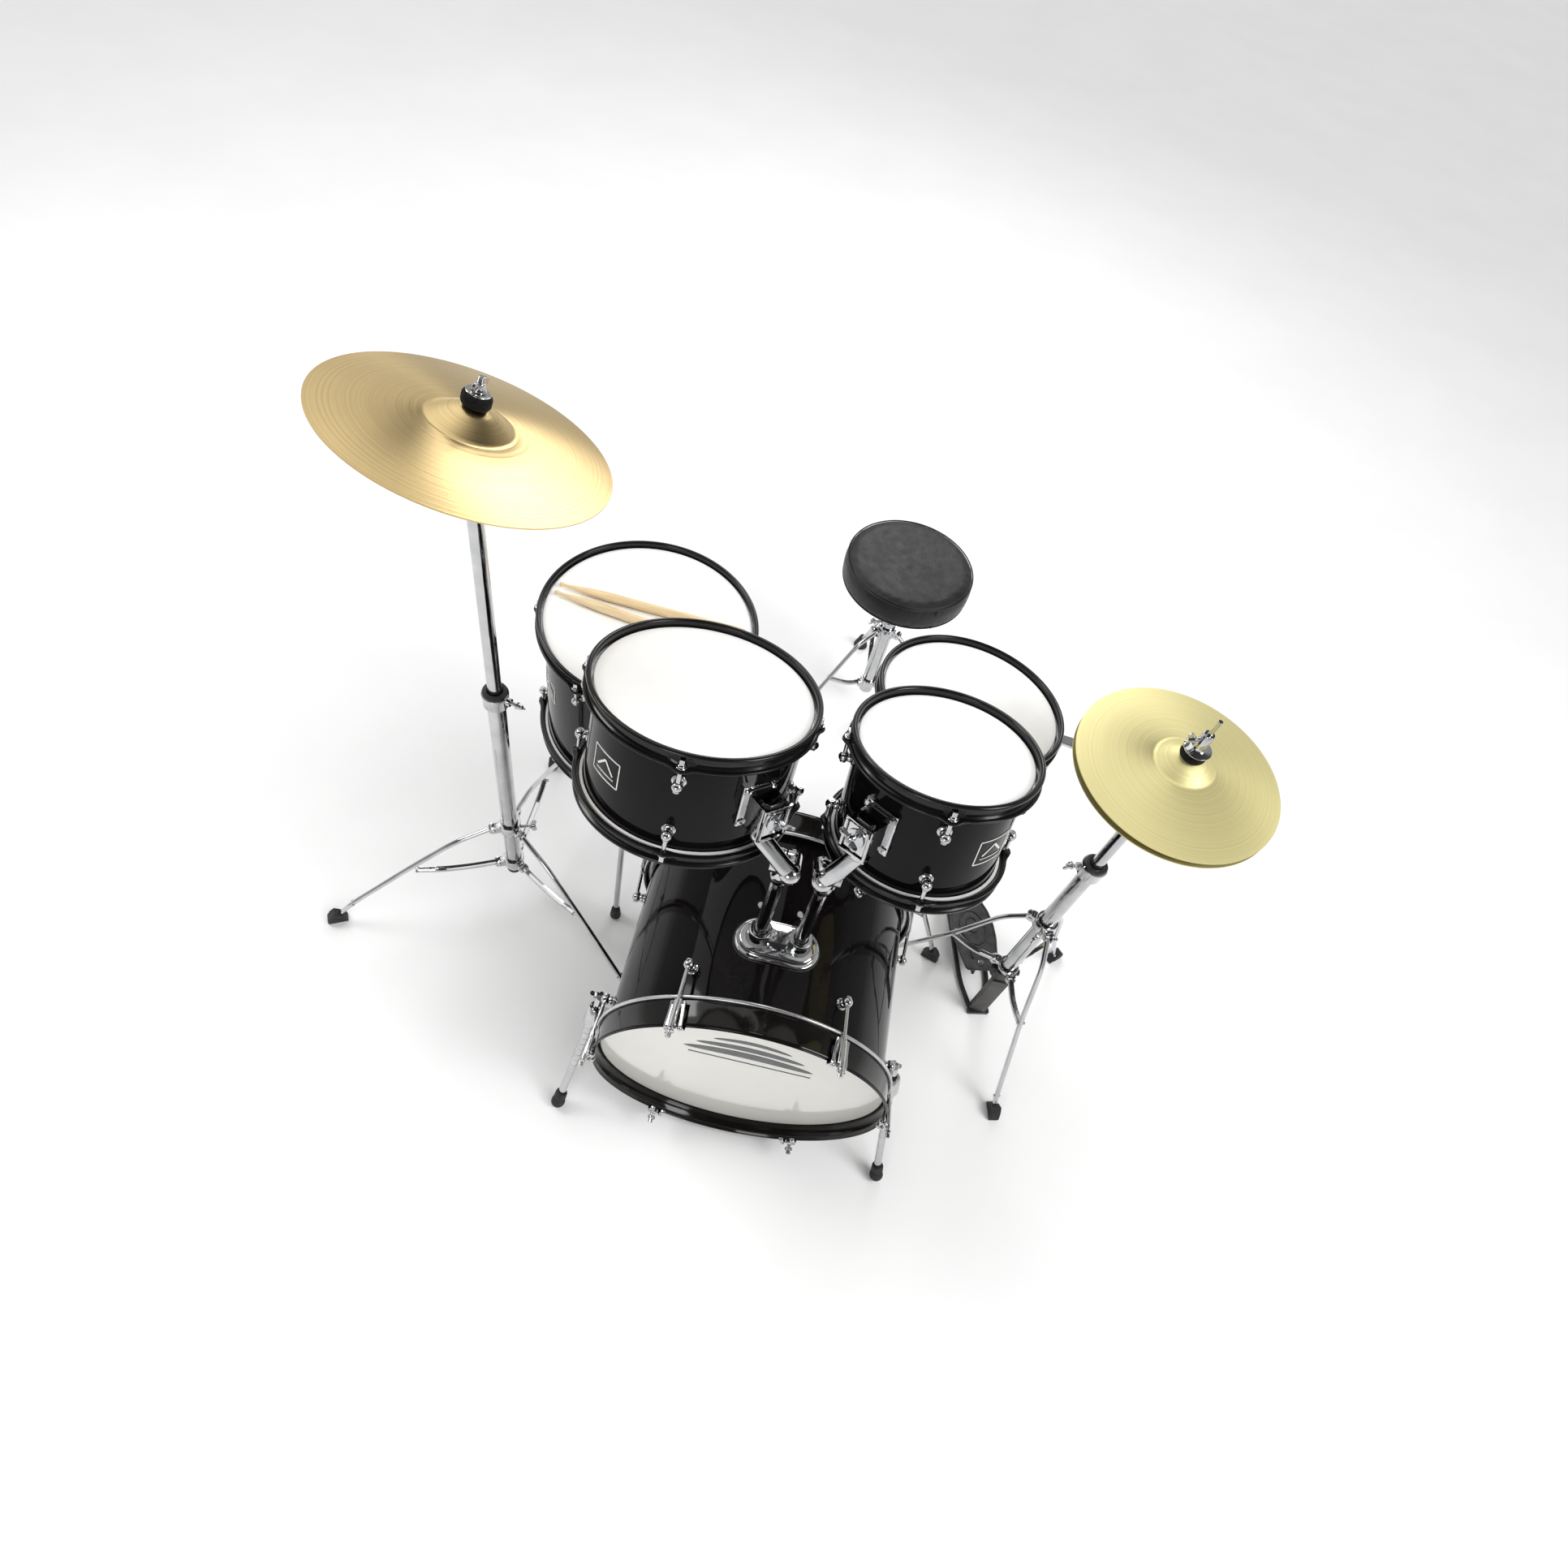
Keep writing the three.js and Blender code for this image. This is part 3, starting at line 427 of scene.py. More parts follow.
def grained_vinyl():
    """Imitation leather: small cells with creases between them."""
    material, tree, surface = shader("grained_vinyl", Specular_IOR_Level=0.3)
    cells = node(tree, "ShaderNodeTexVoronoi", Scale=520, feature="DISTANCE_TO_EDGE")
    tree.links.new(object_coords(tree), cells.inputs["Vector"])
    drift = noise_of(tree, 18, 5)
    colour = tint(tree, drift, (0.012, 0.012, 0.013), (0.026, 0.026, 0.028))
    tree.links.new(colour, surface.inputs["Base Color"])
    tree.links.new(spread(tree, noise_of(tree, 60, 4), 0.34, 0.5), surface.inputs["Roughness"])
    relief(tree, surface, [(noise_of(tree, 26, 3), 0.25, 0.002), (cells.outputs["Distance"], 0.5, 0.0006),
                           (noise_of(tree, 1400, 2), 0.2, 0.0002)])
    return material


def make_looks():
    """Every material by its short name."""
    chrome = {"texture": 35, "metallic": 1.0}
    return {
        "lacquer": grainy("black_lacquer", (0.003, 0.0026, 0.0026), (0.006, 0.005, 0.005), (0.03, 0.06), 9,
                          [(70, 0.012, 0.002), (520, 0.01, 0.0004)],
                          Specular_IOR_Level=0.10, Coat_Weight=0.08, Coat_Roughness=0.02),
        "powder": grainy("black_powder_coat", (0.004, 0.004, 0.0045), (0.009, 0.009, 0.0095),
                         (0.15, 0.22), 40, [(900, 0.03, 0.0003), (2600, 0.05, 0.0001)],
                         Specular_IOR_Level=0.22, Coat_Weight=0.24, Coat_Roughness=0.1),
        "gloss_hoop": grainy("gloss_hoop_lacquer", (0.004, 0.0034, 0.003), (0.008, 0.007, 0.006),
                             (0.08, 0.14), 20, [(240, 0.015, 0.0006), (1400, 0.02, 0.0002)],
                             Specular_IOR_Level=0.25, Coat_Weight=0.2, Coat_Roughness=0.06),
        "chrome": grainy("polished_chrome", (0.47, 0.475, 0.485), (0.60, 0.60, 0.605), (0.03, 0.10),
                         relief_at=[(28, 0.12, 0.004), (90, 0.04, 0.001), (1500, 0.02, 0.0002)], **chrome),
        "satin_steel": grainy("satin_steel", (0.50, 0.50, 0.51), (0.66, 0.66, 0.67), (0.24, 0.36),
                              relief_at=[(900, 0.08, 0.0003)], **chrome),
        "film": grainy("coated_film", (0.90, 0.895, 0.88), (0.95, 0.945, 0.93), (0.42, 0.6), 14,
                       [(120, 0.05, 0.001), (1700, 0.22, 0.00025)]),
        "gloss_film": grainy("gloss_film", (0.74, 0.73, 0.68), (0.80, 0.79, 0.745), (0.08, 0.16), 7,
                             [(22, 0.05, 0.002)], Coat_Weight=0.6, Coat_Roughness=0.05),
        "bronze": lathed("lathed_bronze", (0.66, 0.48, 0.22), (0.82, 0.64, 0.33), (0.26, 0.38), 1.0, 0.86),
        "pale_bronze": lathed("pale_bronze", (0.70, 0.62, 0.27), (0.82, 0.75, 0.40), (0.40, 0.52), 0.6, 0.6),
        "casting": grainy("dark_casting", (0.018, 0.018, 0.019), (0.045, 0.045, 0.047), (0.3, 0.46), 60,
                          [(700, 0.12, 0.0005), (2200, 0.1, 0.0002)], metallic=0.35),
        "plate": grainy("grey_plate", (0.055, 0.053, 0.05), (0.10, 0.098, 0.092), (0.34, 0.46), 30,
                        [(900, 0.1, 0.0003)], metallic=0.7),
        "rubber": grainy("black_rubber", (0.012, 0.012, 0.012), (0.028, 0.028, 0.028), (0.62, 0.8), 90,
                         [(500, 0.2, 0.0006), (1900, 0.25, 0.0003)]),
        "felt": grainy("black_felt", (0.005, 0.005, 0.005), (0.014, 0.014, 0.015), (0.9, 1.0), 300,
                       [(420, 0.5, 0.001), (1500, 0.6, 0.0005)], Specular_IOR_Level=0.1, Sheen_Weight=0.06,
                       Sheen_Roughness=0.5),
        "vinyl": grained_vinyl(),
        "thread": grainy("black_thread", (0.02, 0.02, 0.022), (0.05, 0.05, 0.055), (0.55, 0.75), 900,
                         [(1600, 0.5, 0.0004)], Sheen_Weight=0.3),
        "hickory": grainy("stick_hickory", (0.66, 0.48, 0.25), (0.84, 0.67, 0.41), (0.34, 0.5), 150,
                          [(260, 0.18, 0.0004), (900, 0.1, 0.0002)], stretch=(0.10, 1, 1),
                          Coat_Weight=0.25, Coat_Roughness=0.25),
        "badge": grainy("silver_badge", (0.62, 0.62, 0.60), (0.78, 0.78, 0.76), (0.22, 0.34), 200,
                        [(1200, 0.1, 0.0002)], metallic=0.9),
        "print": grainy("grey_print", (0.055, 0.055, 0.058), (0.085, 0.085, 0.088), (0.3, 0.42), 120,
                        [(1400, 0.08, 0.0002)]),
        "wool": grainy("white_wool", (0.55, 0.53, 0.49), (0.74, 0.72, 0.68), (0.9, 1.0), 260,
                       [(380, 0.7, 0.0015), (1300, 0.8, 0.0007)], Sheen_Weight=0.4, Sheen_Roughness=0.5),
    }


LOOKS = make_looks()


def piece(name, shapes, look, cad_node, stands=False, bevel=0.35, matrix=None, sharp=38.0):
    """A finished piece that rides with cad_node's body, and stands for that node where stands is true.
    Bevel is in millimetres and sharp, the least angle of an edge that stays crisp, in degrees. A piece
    with a matrix keeps its own axes, for textures that turn about them."""
    shape = join(shapes)
    mesh = bpy.data.meshes.new(name)
    offset = np.zeros(3) if matrix is not None else np.array(ORIGIN)
    mesh.from_pydata((shape.points * MM + offset).tolist(), [], shape.faces)
    work = bmesh.new()
    work.from_mesh(mesh)
    bmesh.ops.remove_doubles(work, verts=work.verts, dist=1e-6)
    bmesh.ops.recalc_face_normals(work, faces=work.faces)
    work.to_mesh(mesh)
    work.free()
    mesh.materials.append(LOOKS[look])
    mesh.shade_smooth()
    made = bpy.data.objects.new(name, mesh)
    bpy.context.scene.collection.objects.link(made)
    if matrix is not None:
        placed = Matrix(matrix)
        placed.translation = placed.translation * MM + ORIGIN
        made.matrix_world = placed
    if bevel:
        edge = made.modifiers.new("edge", "BEVEL")
        edge.width = bevel * MM
        edge.segments = 2
        edge.limit_method = "ANGLE"
        edge.angle_limit = math.radians(sharp)
        edge.harden_normals = True
    else:
        mesh.set_sharp_from_angle(angle=math.radians(sharp))
    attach(made, BODY_OF[cad_node])
    if stands:
        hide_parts(cad_node)
    return made


# ---- drums ----
def drum_matrix(spec):
    """A drum's own frame: Z = 0 on its upper head, upwards along its axis."""
    turn = Vector((0, 0, 1)).rotation_difference(Vector(spec["normal"])).to_matrix().to_4x4()
    return Matrix.Translation(spec["centre"]) @ turn


def stations(count, first):
    """Azimuths of a drum's tension rods."""
    return [first + 360 * i / count for i in range(count)]


def ear(degrees, angles, half_width):
    """1 at a station, falling smoothly to 0 half_width degrees away."""
    gap = min(abs((degrees - a + 180) % 360 - 180) for a in angles)
    return 0.0 if gap >= half_width else 0.5 + 0.5 * math.cos(math.pi * gap / half_width)


def flanged_hoop(radius, angles):
    """Pressed steel hoop: a rolled top bead, an upright wall and a lower flange that swells into ears."""
    half = math.degrees(15 / radius)

    def section(degrees):
        swell = ear(degrees, angles, half)
        out, drop = radius + 11.5 + 5.5 * swell, -11 - 2.0 * swell
        bead = arc(radius + 8.0, 6.0, 3.4, 190, -60, 9)
        wall = [(radius + 7.0, 1.5), (radius + 6.9, -6.5), (radius + 8.6, drop + 3.0)]
        flange = arc(out, drop + 1.4, 1.6, 80, -80, 5)
        inside = [(radius + 8.0, drop - 0.2), (radius + 5.6, drop + 2.5), (radius + 4.6, -7)]
        return [(radius + 4.6, 4.4)] + bead + wall + flange + inside
    return hollow(section, 144)


def ball_lug(radius, degrees, z, out=ROD_OUT, size=6.2):
    """Two chrome balls on a round foot: the inner one bolts to the shell, the outer takes the rod."""
    foot = lathe([(0, -1), (8.2, -1), (8.4, 1), (7.2, 2.4), (4.6, 3.2), (4.2, 4.0), (0, 4.0)], 32)
    inner = ball(size * 0.9, 28, 14).at(0, 0, out * 0.36)
    waist = rod((0, 0, 0), (0, 0, out), size * 0.55, 20)
    outer = ball(size, 28, 14).at(0, 0, out)
    lug = join(foot, inner, waist, outer).turned(90, "Y").at(radius, 0, 0)
    sleeve = tube_ring(2.7, size * 0.62, -size - 0.2, size + 0.2, 24).at(radius + out, 0, 0)
    return join(lug, sleeve).turned(degrees).at(0, 0, z)


def shell_tube(radius, low, high, wall=WALL, around=144):
    """A drum's wooden wall, its bearing edges eased."""
    inner = radius - wall
    return hollow([(inner, low + 1), (inner + 1.5, low), (radius - 1, low), (radius, low + 1),
                   (radius, high - 1), (radius - 1, high), (inner + 1.5, high), (inner, high - 1)], around)


def film_disc(radius):
    """Drum head: a flat film with a rounded collar that turns down over the bearing edge."""
    rows = [(radius * f, 1) for f in (0, 0.2, 0.45, 0.7, 0.9, 0.97)] + arc(radius + 0.6, -1.2, 2.2, 90, 0, 6)
    under = [(radius + 2.8, -7.6), (radius + 0.9, -7.6), (radius + 0.9, -0.2), (radius - 3, 0), (0, 0)]
    return lathe(rows + under, 96)


def flesh_hoop(radius):
    """The band that clamps a film's edge."""
    return tube_ring(radius + 1.0, radius + 4.4, -9.6, -5.6, 96)


def badge_on(spec, name, cad_node, degrees, z):
    """A silver border curved to the shell, with a plain chevron over a rule."""
    radius = spec["radius"]

    def strip(outline):
        """A thin plate on the shell, between two rows of points that run opposite ways."""
        n = len(outline)
        points = []
        for lift in (0.0, 0.7):
            for u, v in outline:
                points.append(polar(radius + lift, degrees + math.degrees(u / radius), z + v))
        sides = [(i, (i + 1) % n, n + (i + 1) % n, n + i) for i in range(n)]
        inside = [(i, i + 1, n - 2 - i, n - 1 - i) for i in range(n // 2 - 1)]
        outside = [(2 * n - 1 - i, 2 * n - 2 - i, n + i + 1, n + i) for i in range(n // 2 - 1)]
        return Shape(points, sides + inside + outside)

    def bar(u1, v1, u2, v2, thick):
        """A straight bar that follows the curve, as two matching rows of points."""
        steps = 10
        along = Vector((u2 - u1, v2 - v1)).normalized()
        side = Vector((-along.y, along.x)) * thick / 2
        line = [Vector((u1, v1)).lerp(Vector((u2, v2)), k / steps) for k in range(steps + 1)]
        return strip([tuple(p + side) for p in line] + [tuple(p - side) for p in reversed(line)])

    w, h = 23, 17
    border = [bar(-w, -h, w, -h, 1.6), bar(-w, h, w, h, 1.6), bar(-w, -h, -w, h, 1.6), bar(w, -h, w, h, 1.6)]
    mark = [bar(-w * 0.62, -h * 0.3, 0, h * 0.52, 2.6), bar(0, h * 0.52, w * 0.62, -h * 0.3, 2.6),
            bar(-w * 0.7, -h * 0.58, w * 0.7, -h * 0.58, 1.3)]
    return piece(name, join(border, mark).moved(drum_matrix(spec)), "badge", cad_node, bevel=0)


def build_drum(name, spec, badge=None, lower_film="film"):
    """Shell, two hoops with their rods, both films and the lugs of one drum."""
    radius, depth = spec["radius"], spec["depth"]
    place = drum_matrix(spec)
    angles = stations(spec["stations"], spec["first"])
    below = place @ Matrix.Translation((0, 0, -depth)) @ TURN_OVER
    lugs = [ball_lug(radius, a, z) for a in angles for z in (-LUG_INSET, LUG_INSET - depth)]
    shell, top, bottom = f"{name}_shell", f"{name}_hoop_top", f"{name}_hoop_bottom"
    piece(f"{name}_drum_shell", shell_tube(radius, 0.6 - depth, -0.6).moved(place), "lacquer", shell, True)
    piece(f"{name}_lugs", join(lugs).moved(place), "chrome", shell, bevel=0.3)
    line = radius + ROD_OUT
    for word, cad, spot, at in (("upper", top, place, angles),
                                ("lower", bottom, below, [-a for a in angles])):
        rods = [square_headed_rod(polar(line, a, -8.5), polar(line, a, -LUG_INSET - 7)) for a in at]
        piece(f"{name}_{word}_hoop", flanged_hoop(radius, at).moved(spot), "powder", cad, True, bevel=0)
        piece(f"{name}_{word}_rods", join(rods).moved(spot), "chrome", cad, bevel=0.25)
    # The lower flesh hoop wears the white film look, not steel: a real band, whose whiteness is painted
    # highlight standing for the bright shine just below the shell.
    films = (("upper", f"{name}_head", place, "film", "satin_steel"),
             ("lower", bottom, below, lower_film, "film"))
    for word, cad, spot, film, band in films:
        piece(f"{name}_{word}_film", film_disc(radius).moved(spot), film, cad, word == "upper", bevel=0)
        piece(f"{name}_{word}_flesh_hoop", flesh_hoop(radius).moved(spot), band, cad)
    if badge:
        badge_on(spec, f"{name}_badge", shell, *badge)
    return place


# ---- bass drum ----
BASS_PLACE = Matrix(((1, 0, 0, 0), (0, 0, 1, 0), (0, -1, 0, BASS["height"]), (0, 0, 0, 1)))


def bass_place(height, backwards):
    """A place on the bass drum's axis, whose Z points at the drummer where backwards is true."""
    turn = Matrix.Identity(4) if backwards else TURN_OVER
    return BASS_PLACE @ Matrix.Translation((0, 0, height)) @ turn


def bass_hoop_ring():
    """Channel hoop, height 0 at its open edge: two ridges, a broad gutter and a smooth inner face."""
    r, w = HOOP_RADIUS, HOOP_WIDTH
    gutter = [(r - 0.4, 4.4), (r - 2.6, 6.0), (r - 3.0, 9), (r - 3.1, w - 10), (r - 2.4, w - 7)]
    outer = arc(r - 1.6, 1.6, 1.8, 250, 60, 6) + gutter + arc(r - 0.8, w - 3.0, 3.0, 150, -60, 8)
    inner = [(3.4, w - 4), (5.2, w - 7), (5.4, 8), (4.6, 6.6), (4.6, 5.2), (5.2, 4.2)]
    return hollow(outer + [(r - depth, z) for depth, z in inner], 192)


def claw(degrees):
    """Chrome saddle over the hoop with two hooked toes and a raised spine; its T-headed rod is drawn by
    claw_rod.
    """
    r = HOOP_RADIUS
    run = [(r + 2.2, -2.6), (r + 3.0, 2), (r + 2.6, 12), (r + 3.2, 26), (r + 4.6, 33)]
    side_plate = []
    for offset in (-9.5, 9.5):
        hook = [(r - 6.5, 1.5), (r - 6.5, -1.6), (r - 4.5, -3.4), (r - 1.0, -3.4)] + run
        path = [Vector((x, offset * (1 - 0.28 * max(0, z) / 33), z)) for x, z in hook]
        side_plate.append(sweep(bent(path, 3, 3), rounded(8.0, 1.8, 0.8, 2), up=(1, 0, 0)))
    spine = sweep(bent([(r + 2.6, 0, -4), (r + 6.2, 0, 0), (r + 6.6, 0, 20), (r + 4.2, 0, 35)], 5, 4),
                  rounded(11, 3.4, 1.4, 3), up=(1, 0, 0))
    knuckles = [ball(3.4, 16, 8).at(r + 1.2, o, -3.2) for o in (-9.5, 9.5)]
    return join(side_plate, spine, knuckles).turned(degrees)


def claw_pad(degrees):
    """Rubber pad between claw and hoop."""
    pad = prism(rounded(14, 26, 4, 4), -0.8, 0.8).turned(90, "Y")
    return pad.at(HOOP_RADIUS - 0.4, 0, 16).turned(degrees)


def claw_rod(degrees, lug_height):
    """Rod in front of the hoop, thick sleeve beside the claw, thin thread into the ball lug."""
    r, out = HOOP_RADIUS, BASS["radius"] + 13
    head, end = polar(r + 8.5, degrees, -13), polar(out, degrees, lug_height + 8)
    ahead = (end - head).normalized()
    sleeve_end = head + ahead * 46
    cross, neck = ahead.cross(polar(1, degrees)) * 6, head + ahead * 2
    bar = rod(neck - cross, neck + cross, 2.0, 16)
    sleeve = rod(head + ahead * 8, sleeve_end, 3.9, 20)
    thin = rod(sleeve_end - ahead * 2, end - ahead * 8, 2.7, 16)
    top = square_headed_rod(head + ahead * 5, head + ahead * 16, 2.8, 2)
    return join(top, bar, sleeve, thin, threaded(end - ahead * 12, end, 2.7))


def build_bass_drum():
    """Shell with lugs, both hoops with their claws, both films, the emblem and the spurs."""
    angles = stations(BASS["stations"], 0)
    radius, front, back, inset = (BASS[k] for k in ("radius", "front", "back", "lug_inset"))
    shell = shell_tube(radius, front + 0.6, back - 0.6, 7, 192)
    piece("bass_drum_shell", shell.moved(BASS_PLACE), "lacquer", "bass_shell", True)
    lugs = [ball_lug(radius, a, z, 13, 7.2) for a in angles for z in (front + inset, back - inset)]
    piece("bass_drum_lugs", join(lugs).moved(BASS_PLACE), "chrome", "bass_shell", bevel=0.3)
    for side, edge, inwards in (("front", front - HOOP_PROUD, True), ("rear", back + HOOP_PROUD, False)):
        place = bass_place(edge, inwards)
        cad = f"bass_hoop_{side}"
        piece(f"bass_{side}_hoop_ring", bass_hoop_ring().moved(place), "gloss_hoop", cad, True, bevel=0)
        # A satin steel strip along the hoop's rear ridge: painted highlight, standing for the bright
        # reflection that the glossy black bead shows along its upper edge.
        bead = hollow(arc(HOOP_RADIUS - 0.2, HOOP_WIDTH - 3, 2.7, 200, -160, 14)[:-1], 192)
        piece(f"bass_{side}_hoop_painted_highlight", bead.moved(place), "satin_steel", cad, bevel=0)
        piece(f"bass_{side}_claws", join([claw(a) for a in angles]).moved(place), "chrome", cad, bevel=0.3)
        pads = join([claw_pad(a) for a in angles])
        piece(f"bass_{side}_claw_pads", pads.moved(place), "rubber", cad, bevel=0.4)
        rods = join([claw_rod(a, inset + HOOP_PROUD) for a in angles])
        piece(f"bass_{side}_claw_rods", rods.moved(place), "chrome", cad, bevel=0.25)
    for side, plane, outwards, look in (("front", front, False, "gloss_film"),
                                        ("batter", back, True, "film")):
        place = bass_place(plane, outwards)
        rim = [(r, 1.1) for r in (0, 90, 160, radius - 8)] + arc(radius + 1.5, -2.6, 3.8, 100, 0, 6)
        disc = lathe(rim + [(radius + 5.3, -8.6), (radius + 1.2, -8.6), (radius + 1.2, -0.2), (0, 0)], 144)
        piece(f"bass_{side}_film", disc.moved(place), look, f"bass_head_{side}", True, bevel=0)
        band = tube_ring(radius + 2, radius + 6.4, -10.4, -7.4, 144)
        piece(f"bass_{side}_flesh_hoop", band.moved(place), "satin_steel", f"bass_head_{side}")
    build_emblem()
    patch = lathe([(0, 0), (34, 0), (34, 0.5), (0, 0.5)], 64)
    patch = patch.moved(BASS_PLACE).at(0, back + FILM_PROUD - 0.1, 10)
    piece("bass_batter_patch", patch, "rubber", "bass_head_batter", bevel=0.15)
    build_spurs()


def build_emblem():
    """A plain printed mark in the upper half of the front film: three swept bands over a fine rule."""
    y = BASS["front"] - FILM_PROUD
    shapes = []
    for k, (half, thick) in enumerate(((92, 20), (76, 15), (54, 10))):
        outer, inner = [], []
        for t in np.linspace(-1, 1, 25):
            middle = 92 + 24 * k + 10 * math.cos(t * math.pi / 2)
            half_thick = thick / 2 * (1 - t * t) ** 0.5 + 0.15
            outer.append((t * half + 2, middle + half_thick))
            inner.append((t * half + 2, middle - half_thick))
        n = len(outer)
        front = [(x, y - 0.25, z + BASS["height"] - 24) for x, z in outer + inner]
        behind = [(x, y + 0.1, z) for x, _, z in front]
        faces = [(i, i + 1, n + i + 1, n + i) for i in range(n - 1)]
        back = [(2 * n + i, 3 * n + i, 3 * n + i + 1, 2 * n + i + 1) for i in range(n - 1)]
        sides = [(i, 2 * n + i, 2 * n + i + 1, i + 1) for i in range(n - 1)]
        sides += [(n + i, n + i + 1, 3 * n + i + 1, 3 * n + i) for i in range(n - 1)]
        ends = [(0, n, 3 * n, 2 * n), (n - 1, 3 * n - 1, 4 * n - 1, 2 * n - 1)]
        shapes.append(Shape(front + behind, faces + back + sides + ends))
    rule = slab(176, 0.35, 3.4).at(6, y - 0.08, BASS["height"] + 50)
    piece("bass_front_emblem", join(shapes, rule), "print", "bass_head_front", bevel=0)


def spur_line(side):
    """Top and foot of a spur's rod."""
    return Vector((side * 226, 80, 216)), Vector((side * 262, -22, 9))


def build_spurs():
    """Two rods with rubber tips, each through a sleeve on the shell."""
    brackets = []
    for side, word in ((-1, "left"), (1, "right")):
        start, end = spur_line(side)
        along = (end - start).normalized()
        middle = start + along * 34
        sleeve = hollow([(7, -16), (11, -16), (12.2, -13), (12.2, 13), (11, 16), (7, 16)], 32)
        arm = slab(30, 20, 22, 5).at(middle.x - side * 26, middle.y, middle.z)
        foot = slab(5, 42, 50, 2).at(side * (BASS["radius"] + 1), middle.y, middle.z + 4)
        brackets += [sleeve.moved(aimed(middle, middle + along)), arm, foot,
                     wing_screw(middle + Vector((0, 10, 0)), (side * 0.2, 1, 0.25), 22, 11, 30)]
        cad = f"spur_{word}"
        tip = Vector((end.x, end.y, 11))
        notches = [start + along * t for t in range(60, 150, 12)]
        notch = hollow([(5.9, -0.7), (6.25, -0.4), (6.25, 0.4), (5.9, 0.7)], 24)
        rings = [notch.moved(aimed(p, p + along)) for p in notches]
        piece(f"{cad}_rod", join(rod(start, end, 6, 28), rings), "chrome", cad, True)
        dome = arc(0, 0, 11, -45, 80, 10) + [(0, 11)]
        cup = lathe([(0, -22), (8.5, -22), (9.2, -20), (9.6, -10)] + dome, 32)
        piece(f"{cad}_rubber_tip", cup.moved(aimed(tip, tip + along)), "rubber", cad, bevel=0.5)
    piece("spur_brackets", brackets, "chrome", "bass_shell", bevel=0.6)


# ---- tom mount ----
def build_tom_mount():
    """Oblong plate on the bass drum with a receiver and wing screw for each post."""
    crown = BASS["height"] + BASS["radius"]
    y = POSTS["y"]

    def oblong(half):
        """An outline round both posts."""
        return arc(POSTS["x"][1], 0, half, -90, 90, 16) + arc(POSTS["x"][0], 0, half, 90, 270, 16)

    def saddle(half, low, high, round_off):
        """An oblong layer whose underside follows the shell and whose rim is rolled."""
        rows = []
        slope = round_off * 0.3
        for cut, height in ((0, low), (0, high - round_off), (slope, high - slope), (round_off, high)):
            rows.append([(u, v, height) for u, v in oblong(half - cut)])
        n = len(rows[0])
        points = []
        for row in rows:
            for u, v, z in row:
                fall = BASS["radius"] - math.sqrt(BASS["radius"] ** 2 - u * u)
                points.append((u, v + y, crown + z - fall * (1 - max(z, 0) / 16)))
        faces = [(i * n + k, i * n + (k + 1) % n, (i + 1) * n + (k + 1) % n, (i + 1) * n + k)
                 for i in range(len(rows) - 1) for k in range(n)]
        return Shape(points, faces + [tuple(range(n))[::-1], tuple(range(3 * n, 4 * n))])

    receivers = []
    for x in POSTS["x"]:
        collar = hollow([(9.6, 6), (21, 6), (18.4, 9), (16.4, 14), (15.6, 30), (15.6, 32), (14.6, 34),
                         (10.4, 34), (9.6, 33)], 48)
        receivers += [collar.at(x, y, crown), rod((x, y + 12, crown + 23), (x, y + 20, crown + 23), 6.4, 24),
                      wing_screw((x, y + 15, crown + 23), (0, 1, 0.2), 22, 12, 20)]
    bridge = slab(34, 17, 14, 4).at(0, y, crown + 14)
    mount = [saddle(31, 0.4, 5, 2), saddle(26, 4, 11, 3), receivers, bridge]
    piece("tom_mount_saddle", mount, "chrome", "tom_mount_plate", True, bevel=0.5)
    piece("tom_mount_gasket", saddle(33, -0.3, 1.4, 0.6), "rubber", "tom_mount_plate", bevel=0)


